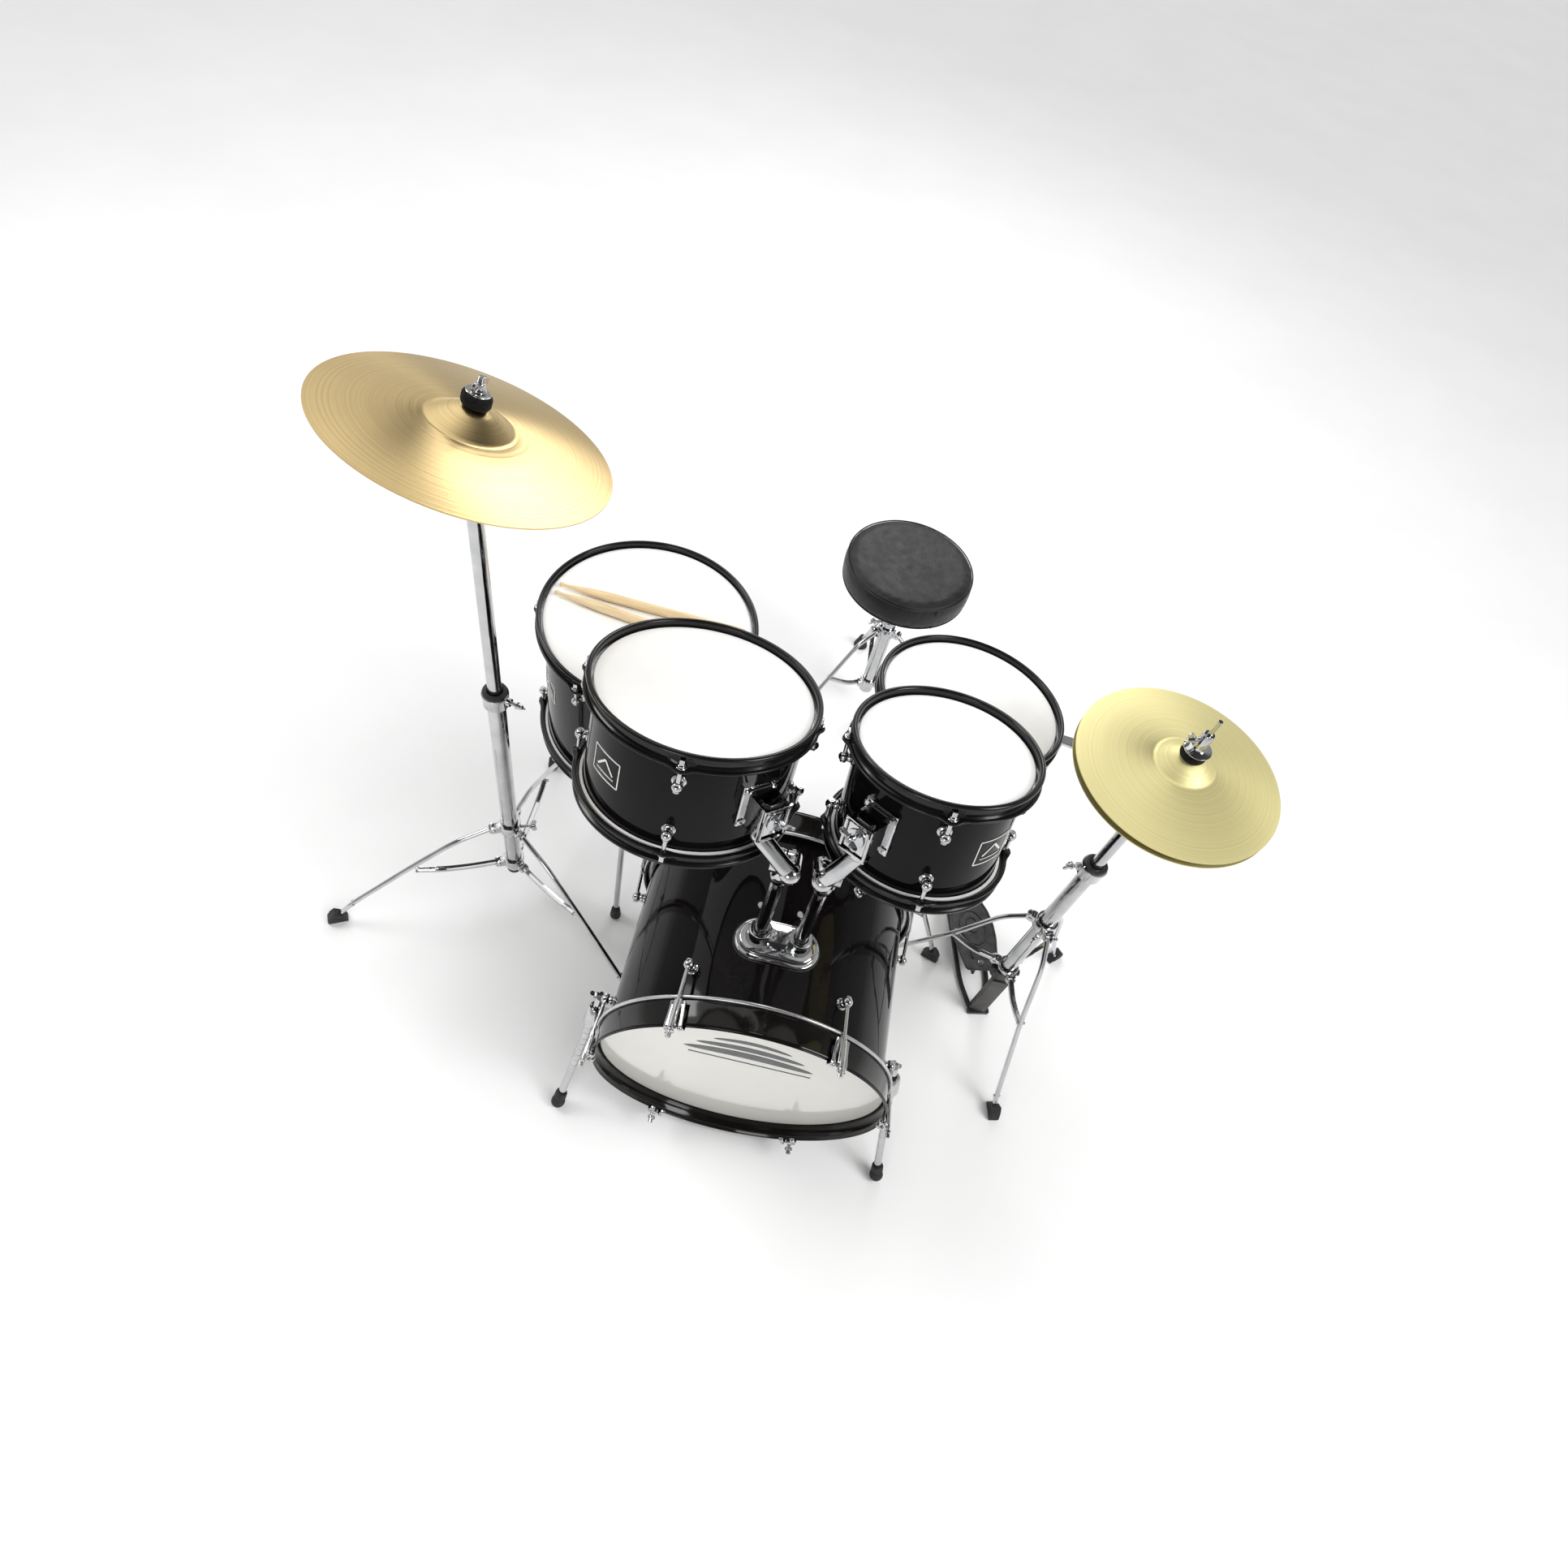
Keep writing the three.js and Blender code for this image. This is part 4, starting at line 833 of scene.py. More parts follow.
def mounted_tom(name, spec, bracket_azimuth, post_x):
    """The bracket on a tom's shell, the arm under it and the post, which meet in the toothed tilter."""
    place = drum_matrix(spec)
    radius = spec["radius"]
    side = math.copysign(1, spec["centre"][0])
    reach = BRACKET["reach"]
    mid = (BRACKET["low"] + BRACKET["high"]) / 2
    # bracket on the shell
    plate = slab(5, 44, 56, 2).at(radius + 0.5, 0, mid)
    body = prism([(0, -17), (reach + 1, -17), (reach + 5, -13),
                  (reach + 5, 13), (reach + 1, 17), (0, 17)], -21, 21)
    crown_block = prism([(4, -12), (reach - 4, -12), (reach + 1, -8),
                         (reach + 1, 8), (reach - 4, 12), (4, 12)], 21, 24)
    face = radius + reach + 5
    front_rim = [slab(4, 37, 4, 1).at(face, 0, mid + z) for z in (-20.5, 20.5)]
    front_rim += [slab(4, 4, 37, 1).at(face, o, mid) for o in (-16.5, 16.5)]
    button = lathe([(0, 0), (12, 0), (11, 3), (0, 4.5)], 40).turned(90, "Y")
    front_rim.append(button.at(face - 1, 0, mid + 2))
    low, line = BRACKET["low"], radius + BRACKET["socket"]
    socket = tube_ring(BRACKET["rod"] + 1, 12.5, low - 5, low + 4, 32).at(line, 0, 0)
    bolts = [lathe([(0, 0), (4.2, 0), (4.0, 1.6), (0, 2.4)], 20).turned(90, "Y").at(radius + 3, o, z)
             for o in (-19, 19) for z in (mid - 22, mid + 22)]
    screw = wing_screw((face, 0, mid + 4), (1, 0, 0.3), 17, 15, 65)
    blocks = [body.at(radius, 0, mid), crown_block.at(radius, 0, mid)]
    bracket = join(plate, front_rim, blocks, socket, bolts, screw).turned(bracket_azimuth)
    piece(f"{name}_bracket", bracket.moved(place), "chrome", f"{name}_shell", bevel=0.8)
    # arm, on the inner side of the tilter
    pivot = Vector((post_x, POSTS["y"], POSTS["ratchet"]))
    across = Vector((-side, 0, 0))
    elbow, socket_mouth, top = (place @ polar(line, bracket_azimuth, low + rise) for rise in (-12, -4, 26))
    root = pivot + across * 9
    forward = pivot + across * 8 + Vector((0, -24, 16))
    arm_path = bent([root + Vector((0, 10, -4)), forward, elbow, socket_mouth], 16, 8)
    swell = [1.0 - 0.26 * k / (len(arm_path) - 1) for k in range(len(arm_path))]
    boss = lathe([(0, 3.6), (7, 3.4), (11, 2.2), (13.8, -0.6), (14.6, -3), (14.6, -11), (0, -11)], 48)
    boss = boss.moved(aimed(pivot + across * 13, pivot + across * 20))
    ring = lathe([(0, -9), (11.2, -9), (12.4, -7), (12.4, -1), (11.2, 1), (0, 1)], 40)
    collar = ring.moved(aimed(socket_mouth, top))
    arm = [sweep(arm_path, circle(12, 32), scales=swell), boss, collar, ball(12.3, 32, 16).at(*forward),
           rod(socket_mouth, top, BRACKET["rod"], 24)]
    piece(f"{name}_arm_casting", arm, "chrome", f"{name}_arm", True, bevel=0.6)
    # post with the other half of the tilter, whose dished face looks outwards
    inner = pivot - across * 1
    teeth = tube_ring(9, 14.8, -1.2, 0.8, 48).moved(aimed(inner, inner + across))
    dish = lathe([(0, 4.2), (3.2, 4.2), (3.4, 3), (8.6, 1.4), (12.4, 2.6), (14.2, 3.4), (15.2, 2.4),
                  (15.4, 0), (15.4, -9), (14, -11), (0, -11)], 48)
    cap_bolt = lathe([(0, 6.6), (2.6, 6.4), (3.6, 4.6), (3.6, 2), (0, 2)], 6)
    hub = join(dish, cap_bolt).moved(aimed(pivot - across * 12.5, pivot - across * 20))
    saddle = lathe([(9, -42), (11, -41), (12.2, -36), (12.2, -20), (10.6, -14), (0, -13)], 40).at(*pivot)
    neck = slab(12, 20, 16, 4).at(pivot.x + side * 6.5, pivot.y, pivot.z - 14)
    shaft = tube_ring(6.6, POSTS["radius"], POSTS["bottom"], POSTS["ratchet"] - 30, 40)
    post = [shaft.at(post_x, POSTS["y"], 0), saddle, hub, teeth, neck]
    piece(f"{name}_post_tube", post, "chrome", f"{name}_post", True, bevel=0.5)


# ---- tripod stands ----
def stand_point(stand, r, azimuth, z):
    """A point r away from a stand's axis."""
    p = polar(r, azimuth, z)
    return Vector((p.x + stand["x"], p.y + stand["y"], p.z))


def leg_bar(stand, azimuth, pairs, radius, corner=20):
    """A leg of round bar through (distance, height) pairs in an upright plane on the stand's axis."""
    return sweep(bent([stand_point(stand, r, azimuth, z) for r, z in pairs], corner, 6), circle(radius, 16))


def leg_channel(stand, azimuth, pairs):
    """A pressed brace of channel section."""
    path = bent([stand_point(stand, r, azimuth, z) for r, z in pairs], 18, 6)
    width, depth, gauge = 4.4, 2.6, 0.9
    inner, floor = width - gauge, depth - gauge
    section = [(-width, depth), (width, depth), (width, -depth), (inner, -depth), (inner, floor),
               (-inner, floor), (-inner, -depth), (-width, -depth)]
    return sweep(path, section, up=polar(1, azimuth + 90).cross(path[1] - path[0]))


def rivet(stand, r, azimuth, z, half, size):
    """A dome-headed pin across a leg's plane, half long to each side."""
    centre, across = stand_point(stand, r, azimuth, z), polar(1, azimuth + 90)
    end = [(size * 0.6, half - 1), (size, half - 0.8), (size, half), (size * 0.7, half + 1.2),
           (0, half + 1.6)]
    pin = lathe([(r, -z) for r, z in reversed(end)] + end, 20)
    return pin.moved(aimed(centre, centre + across))


def tripod(stand, feet, leg, bar, brace, pins):
    """Three legs with their pins and braces. Leg and brace are (distance, height) pairs."""
    parts = []
    for azimuth in feet["azimuths"]:
        parts.append(leg_bar(stand, azimuth, leg, bar))
        parts += [rivet(stand, r, azimuth, z, half, size) for r, z, half, size in pins]
        parts.append(leg_channel(stand, azimuth, brace))
    return parts


def pointed_foot(stand, feet, azimuth, lift=0.0):
    """Rubber foot: a pentagon in side view with chamfered cheeks. No socket for the leg is drawn."""
    outline = [(-17, 0), (15, 0), (15, 8), (9, 19), (1, 27), (-8, 19), (-15, 9)]
    body = prism(outline, -8, 8).turned(90, "X")
    ridge = prism([(-9, 3), (9, 3), (4, 15), (-4, 15)], -9, 9).turned(90, "X")
    foot = join(body, ridge).turned(azimuth)
    centre = stand_point(stand, feet["radius"], azimuth, lift)
    return foot.at(*centre)


def eared_collar(stand, z, feet, tube, reach, height=20):
    """Clamp sleeve with a rim, and a pair of ears with its rivet for each leg."""
    half = height / 2
    end = [(tube + 4.6, half - 1.4), (tube + 3.6, half), (tube + 0.6, half)]
    parts = [hollow([(r, -z) for r, z in reversed(end)] + end, 40).at(stand["x"], stand["y"], z)]
    for azimuth in feet["azimuths"]:
        outline = [(0, -7.5)] + arc(reach - 7.5, 0, 7.5, -90, 90, 10) + [(0, 7.5)]
        cheek = prism(outline, -1.2, 1.2).turned(90, "X")
        for offset in (-5.3, 5.3):
            parts.append(cheek.at(tube + 3, offset, 0).turned(azimuth).at(stand["x"], stand["y"], z))
        web = slab(6, 11, 14, 1.5).at(tube + 5.5, 0, 0).turned(azimuth).at(stand["x"], stand["y"], z)
        parts += [web, rivet(stand, tube + reach - 4.5, azimuth, z, 6.6, 3.2)]
    return parts


def height_clamp(x, y, z, bore, outer, low, high, screw_from, direction, spin=20):
    """Height clamp: a band round the tube's top with a rim above, lugs and a wing screw."""
    band = hollow([(bore, low), (outer - 2, low), (outer - 1, low + 1.5), (outer - 1, high - 8),
                   (outer, high - 6), (outer, high - 2), (outer - 2, high), (bore, high)], 40).at(x, y, z)
    ahead = Vector(direction).normalized()
    boss = rod(Vector(screw_from) - ahead * 5, Vector(screw_from) + ahead * 6, 6, 24)
    return [band, boss, wing_screw(Vector(screw_from) + ahead * 2, direction, 20, 11, spin)]


def build_crash_stand():
    """Base tube, sliding leg collar, three folding legs with their braces, and the top."""
    x, y, hub, collar, joint = (CRASH[k] for k in ("x", "y", "hub", "collar", "joint"))
    tube = tube_ring(11.3, 12.7, 70, joint + 2, 48).at(x, y, 0)
    end_plug = lathe([(0, 66), (10, 66), (12.4, 68), (12.9, 72), (12.9, 76), (0, 76)], 40).at(x, y, 0)
    base = [tube, eared_collar(CRASH, hub, CRASH_FEET, 12.7, 16),
            height_clamp(x, y, joint, 11.3, 18.5, -14, 12, (x + 16, y, joint - 3), (1, -0.2, 0))]
    piece("crash_stand_base", base, "chrome", "crash_base_tube", True, bevel=0.4)
    insert = hollow([(10.4, 8), (17, 8), (17.4, 10), (16.6, 14.5), (12, 16), (10.4, 15)], 40).at(x, y, joint)
    piece("crash_stand_clamp_insert", [insert, end_plug], "rubber", "crash_base_tube", bevel=0.3)
    screw = wing_screw((x + 17, y + 3, collar), (0.9, 0.35, 0), 22, 12, 10)
    slider = eared_collar(CRASH, collar, CRASH_FEET, 12.9, 18, 22)
    piece("crash_stand_collar", [slider, screw], "chrome", "crash_leg_collar", True, bevel=0.4)
    rivet_r, rivet_z = LEG_FOLD["rivet"], LEG_FOLD["rivet_height"]
    for i, azimuth in enumerate(CRASH_FEET["azimuths"], 1):
        line = [(32, collar), (92, 182), (rivet_r, rivet_z + 6), (268, 46), (292, 20)]
        leg = leg_bar(CRASH, azimuth, line, 4.2, corner=24)
        toe = rivet(CRASH, 268, azimuth, 46, 4.6, 2.6)
        piece(f"crash_leg_{i}_bar", [leg, toe], "chrome", f"crash_leg_{i}", True, bevel=0.3)
        foot = pointed_foot(CRASH, CRASH_FEET, azimuth, 0.5)
        piece(f"crash_leg_{i}_foot", foot, "rubber", f"crash_leg_{i}", bevel=1.0)
        line = [(26, hub), (70, hub + 1), (118, rivet_z - 16), (rivet_r - 10, rivet_z - 1)]
        pin = rivet(CRASH, rivet_r - 12, azimuth, rivet_z + 1, 6.2, 3.0)
        brace = [leg_channel(CRASH, azimuth, line), pin]
        piece(f"crash_brace_{i}_bars", brace, "chrome", f"crash_brace_{i}", True, bevel=0.3)
    build_crash_top()


def build_crash_top():
    """Upper tube, tilter with its felts and nut, and the cymbal, drawn with the pivot at the origin."""
    pivot = CRASH["pivot"]
    azimuth = Matrix.Rotation(math.radians(CRASH["tilt_azimuth"]), 4, "Z")
    upright = Matrix.Translation((CRASH["x"], CRASH["y"], 0)) @ azimuth @ Matrix.Translation((0, 0, pivot))
    drop = CRASH["joint"] - pivot
    tube = rod((0, 0, drop - 150), (0, 0, -24), 9.6, 40)
    collar = lathe([(9.4, -36), (11.4, -35), (11.8, -30), (11.4, -24), (8, -20), (0, -20)], 40)
    fork = slab(16, 7.5, 26, 3).at(0, -3.75, -13)
    to_front = aimed((0, 0, 0), (0, -1, 0))
    disc = lathe([(0, 0), (11, 0), (12.6, 1.4), (12.6, 6.4), (11.2, 7.6), (0, 7.6)], 48).moved(to_front)
    teeth = tube_ring(7, 12.2, -0.6, 0.2, 48).moved(to_front)
    upper = join(tube, collar, fork, disc, teeth).moved(upright)
    piece("crash_stand_upper_tube", upper, "chrome", "crash_upper_tube", True, bevel=0.5)
    lean = upright @ Matrix.Rotation(math.radians(CRASH["tilt"]), 4, "Y")
    lift, bell = 6, CYMBAL["bell_height"]
    crown = lift + bell
    half = lathe([(0, 0), (11, 0), (12.6, 1.4), (12.6, 7), (11, 8.6), (0, 8.6)], 48)
    half = half.moved(aimed((0, 0.4, 0), (0, 1, 0)))
    block = slab(14, 9, 14, 3).at(0, 5, 12)
    stem = rod((0, 0, 12), (0, 0, crown + 14), 4, 24)
    thread = threaded((0, 0, crown + 12), (0, 0, crown + 31), 3.6)
    cup = lathe([(0, -22), (9, -22), (15, -20), (15.4, -18.6), (0, -18)], 40).at(0, 0, crown)
    screw = wing_screw((0, 9, 0), (0, 1, 0), 16, 10, 20)
    washer = hollow([(4.2, 13), (12.6, 13), (12.9, 14), (12.4, 14.8), (4.2, 14.8)], 40).at(0, 0, crown)
    nut_hub = lathe([(0, 0), (7.4, 0), (7.8, 2), (5.6, 4), (5.4, 8.6), (4.2, 10), (0, 10)], 28)
    leaf = wing(16, 3.2).at(0, 0, 5)
    nut = join(nut_hub, leaf, leaf.turned(180)).turned(35).at(0, 0, crown + 15)
    tilter = join(half, block, stem, thread, cup, screw, washer, nut)
    piece("crash_stand_tilter", tilter.moved(lean), "chrome", "crash_tilter", True, bevel=0.4)
    felts = [hollow([(4.2, 0.5), (14, 0.5), (15.4, 3), (15.4, 10), (14, 12.8), (4.2, 12.8)], 48),
             hollow([(4.2, -18), (8.2, -18), (8.6, -15), (8.4, -4), (4.2, -2.6)], 40)]
    piece("crash_stand_felts", join(felts).at(0, 0, crown).moved(lean), "felt", "crash_tilter", bevel=0.6)
    piece("crash_cymbal_plate", cymbal(CRASH["radius"]), "bronze", "crash_cymbal", True, bevel=0, sharp=60,
          matrix=lean @ Matrix.Translation((0, 0, lift)))


def cymbal(radius):
    """Cymbal with a cone bell, a bow that falls in a gentle curve and a turned rim."""
    ratio = radius / CYMBAL["full"]
    bell, hole, bow = CYMBAL["bell"] * ratio, CYMBAL["hole"], CYMBAL["bow"]
    top = bow + (CYMBAL["bell_height"] - bow) * ratio
    upper = [(hole, top)] + arc(hole + 3, top - 1.6, 1.6, 90, 40, 3)
    for t in np.linspace(0.12, 1, 10):
        r = hole + 4 + (bell - hole - 4) * t
        upper.append((r, top - 1.0 - (top - bow - 1.0) * (t ** 1.25)))
    for t in np.linspace(0, 1, 30)[1:]:
        r = bell + (radius - bell) * t
        upper.append((r, bow * (1 - t ** 1.35) + 0.12 * math.sin(r * 0.9) * (1 - t)))
    lower = [(r, z - CYMBAL["thickness"]) for r, z in reversed(upper)]
    return hollow(upper + lower, 160)


# ---- hi-hat ----
def build_hihat():
    """Hub and pedal frame, tripod, upper tube with its seat, both cymbals, clutch and rod."""
    x, y, hub, collar, joint, plane = (HIHAT[k] for k in ("x", "y", "hub", "collar", "joint", "plane"))
    tube = tube_ring(10.4, 12.7, hub - 12, joint + 2, 48).at(x, y, 0)
    clamp = height_clamp(x, y, joint, 10.4, 19, -14, 12, (x - 17, y, joint), (-1, -0.3, 0.1), 15)
    piece("hihat_stand_base_tube", [tube, clamp], "chrome", "hihat_base", True, bevel=0.4)
    insert = hollow([(9.6, 8), (17.4, 8), (17.8, 10), (16.8, 14), (11, 15.5), (9.6, 15)], 40).at(x, y, joint)
    yaw = Matrix.Translation((x, y, 0)) @ Matrix.Rotation(math.radians(FOOTBOARD["yaw"]), 4, "Z")
    heel = FOOTBOARD["heel"]
    casting = [slab(32, 32, 32, 6).at(0, 0, hub - 4), slab(46, 12, 12, 4).at(0, 0, hub + 2),
               hollow([(13, hub + 8), (17, hub + 8), (17, hub + 13), (14, hub + 15), (13, hub + 15)], 40)]
    casting += [rod((s * 18, 0, hub + 2), (s * 25, 0, hub + 2), 5.5, 24) for s in (-1, 1)]
    piece("hihat_hub_casting", [join(casting).at(x, y, 0), insert], "casting", "hihat_base", bevel=0.8)
    upright = slab(28, 3, hub - 14, 0.8).at(x, y - 17, (hub - 14) / 2)
    flanges = [slab(2.4, 12, hub - 18, 0.6).at(x + s * 13.2, y - 12, (hub - 18) / 2) for s in (-1, 1)]
    piece("hihat_upright_plate", [upright, flanges], "plate", "hihat_base", bevel=0.5)
    rails = [sweep(bent([(s * 14, -14, 4), (s * 26, 40, 4), (s * 30, heel, 4)], 16, 6),
                   rounded(8, 7, 2.4, 3))
             for s in (-1, 1)]
    heel_plate = [slab(74, 54, 7, 9).at(0, heel + 8, 3.6), slab(60, 30, 4, 8).at(0, heel + 16, 8.4)]
    hinge_y, hinge_z = heel - BOARD_HINGE, FOOTBOARD["hinge"]
    knuckle = [tube_ring(3.4, 6.4, -9, 9, 28).turned(90, "Y").at(s * 15, hinge_y, hinge_z) for s in (-1, 1)]
    pin = rod((-27, hinge_y, hinge_z), (27, hinge_y, hinge_z), 3.2, 20)
    cheek = prism([(-30, 2), (4, 2), (-2, 12), (-17, 26), (-27, 26)], -1.6, 1.6).moved(SIDE_ON)
    cheeks = [cheek.at(s * 25, heel, 0) for s in (-1, 1)]
    toe_bar = slab(40, 12, 7, 3).at(0, -16, 3.8)
    frame_casting = join(rails, heel_plate, cheeks, toe_bar)
    piece("hihat_pedal_frame", frame_casting.moved(yaw), "casting", "hihat_base", bevel=0.7)
    piece("hihat_heel_pin", join(pin, knuckle).moved(yaw), "chrome", "hihat_base", bevel=0.3)
    ribs = [prism(rounded(44, 3, 1, 2), 9.8, 11.4).at(0, heel + 6 + 6 * k, 0) for k in range(5)]
    piece("hihat_heel_ribs", join(ribs).moved(yaw), "rubber", "hihat_base", bevel=0.3)
    # tripod
    legs = tripod(HIHAT, HIHAT_FEET, [(24, collar), (58, 292), (104, 178), (182, 26), (190, 18)], 4.2,
                  [(24, hub + 18), (58, 162), (80, 166), (106, 176)],
                  [(104, 178, 6, 3), (178, 33, 4.8, 2.6)])
    feet = [pointed_foot(HIHAT, HIHAT_FEET, azimuth) for azimuth in HIHAT_FEET["azimuths"]]
    collars = [eared_collar(HIHAT, collar, HIHAT_FEET, 13.4, 15, 20),
               eared_collar(HIHAT, hub + 18, HIHAT_FEET, 13.4, 15, 9)]
    screw = wing_screw((x - 6, y - 18, collar), (-0.6, -0.8, 0.3), 24, 12, 60)
    piece("hihat_stand_tripod", [legs, collars, screw], "chrome", "hihat_tripod", True, bevel=0.35)
    piece("hihat_stand_feet", feet, "rubber", "hihat_tripod", bevel=1.0)
    # upper tube, seat and cymbals
    seat = plane - 34
    upper = hollow([(4.6, joint - 120), (9.2, joint - 120), (9.2, seat - 16), (10.6, seat - 15),
                    (11, seat - 9),
                    (16, seat - 4), (20, seat - 2.4), (20.4, seat - 1.2), (4.6, seat - 1.2)], 48).at(x, y, 0)
    piece("hihat_stand_upper_tube", upper, "chrome", "hihat_upper_tube", True, bevel=0.4)
    seat_felt = hollow([(4.6, -1.2), (18, -1.2), (19, 1), (17, 3.2), (8, 4), (4.6, 4)], 48)
    piece("hihat_seat_felt", seat_felt.at(x, y, seat), "felt", "hihat_upper_tube", bevel=0.5)
    ratio = HIHAT["radius"] / CYMBAL["full"]
    bell_top = CYMBAL["bow"] + (CYMBAL["bell_height"] - CYMBAL["bow"]) * ratio
    under = Matrix.Translation((x, y, seat + bell_top + 0.4)) @ TURN_OVER
    over = Matrix.Translation((x, y, plane + 8))
    for word, cad, place in (("lower", "hihat_bottom_cymbal", under), ("upper", "hihat_top_cymbal", over)):
        plate = cymbal(HIHAT["radius"])
        piece(f"hihat_{word}_cymbal", plate, "pale_bronze", cad, True, bevel=0, sharp=60, matrix=place)
    top = plane + 8 + bell_top
    pull = rod((x, y, 74), (x, y, top + 66), 3, 20)
    cup = hollow([(3.2, 12.4), (13, 12.4), (17, 13.4), (17.6, 15), (11, 16.4), (8.4, 18), (7.4, 22),
                  (7.4, 40), (6.4, 42), (3.2, 42)], 48).at(x, y, top)
    nut = hollow([(3.2, -16), (8.6, -16), (9, -14), (9, -9), (8, -8), (3.2, -8)], 12).at(x, y, top)
    grip = wing_screw((x - 5, y, top + 31), (-1, -0.4, 0), 17, 11, 30)
    links = []
    for k in range(3):
        wide, deep = (3.2, 0.64) if k % 2 else (0.64, 3.2)
        link = [(x + wide * math.cos(a), y + deep * math.cos(a), 70 - 6.2 * k + 4.6 * math.sin(a))
                for a in np.linspace(0, 2 * math.pi, 13)]
        links.append(sweep(link, circle(1.0, 8)))
    piece("hihat_clutch_and_rod", [pull, cup, nut, grip, links], "chrome", "hihat_pull_rod", True,
          bevel=0.35)
    felts = [hollow([(3.3, 0.5), (15, 0.5), (16, 3), (16, 9.6), (14.6, 12.4), (3.3, 12.4)], 48),
             hollow([(3.3, -8), (8, -8), (8.6, -6), (8, -2.6), (3.3, -2.6)], 40)]
    piece("hihat_clutch_felts", join(felts).at(x, y, top), "felt", "hihat_pull_rod", bevel=0.6)
    build_hihat_footboard(yaw)


def footboard_outline():
    """Half-widths of the cast board against its length from the heel hinge."""
    heel_to_toe = ((0, 17), (12, 20), (34, 27), (60, 37), (90, 41.5), (120, 41), (150, 36), (172, 33),
                   (186, 30), (190, 26))
    return [(w, d) for d, w in heel_to_toe] + [(-w, d) for d, w in reversed(heel_to_toe)]


def board_place(hinge_y, hinge_z, length, toe, spin):
    """Board's own frame: X across, Y from the heel hinge towards the toe, Z up."""
    tilt = math.atan2(toe - hinge_z, length)
    rise = Matrix.Rotation(math.pi, 4, "Z") @ Matrix.Rotation(tilt, 4, "X")
    return spin @ Matrix.Translation((0, hinge_y, hinge_z)) @ rise


def raised_oval(width, length, thickness, height):
    """An oval rib, cast in relief on the footboard."""
    ring = [(width / 2 * math.cos(a), length / 2 * math.sin(a), 0) for a in np.linspace(0, 2 * math.pi, 49)]
    return sweep(ring, rounded(thickness, height, thickness * 0.4, 3))


def build_hihat_footboard(yaw):
    hinge_y = FOOTBOARD["heel"] - BOARD_HINGE
    place = board_place(hinge_y, FOOTBOARD["hinge"], FOOTBOARD["length"], FOOTBOARD["toe"], yaw)
    plate = prism(footboard_outline(), 0.4, 4.6)
    edge = bent([(w * 0.97, d, 5.2) for w, d in footboard_outline()] + [(17, 0.5, 5.2)], 6, 3)
    rim = sweep(edge, rounded(3.4, 3.0, 1.2, 2))
    ribs = [raised_oval(22, 34, 3.0, 2.6).at(0, 92.1, 5.4), raised_oval(48, 76, 3.2, 2.6).at(0, 98, 5.4)]
    bars = [slab(16, 4.4, 3.0, 2).at(0, 26 + 9 * k, 5.6) for k in range(3)]
    bars += [slab(5, 22, 3.0, 2.4).at(s * 13, 156, 5.6) for s in (-1, 1)]
    ear_bars = [slab(5, 13, 9, 2).at(s * 18, 190, 2) for s in (-1, 1)]
    board = join(plate, rim, ribs, bars, ear_bars)
    piece("hihat_footboard_casting", board.moved(place), "casting", "hihat_footboard", True, bevel=0.6)
    stud = lathe([(0, 4.4), (6.2, 4.4), (6.6, 5.4), (6, 6.6), (3, 6.8), (2.4, 5.8), (0, 5.8)], 36)
    piece("hihat_footboard_stud", stud.at(0, 176, 0).moved(place), "chrome", "hihat_footboard", bevel=0.2)


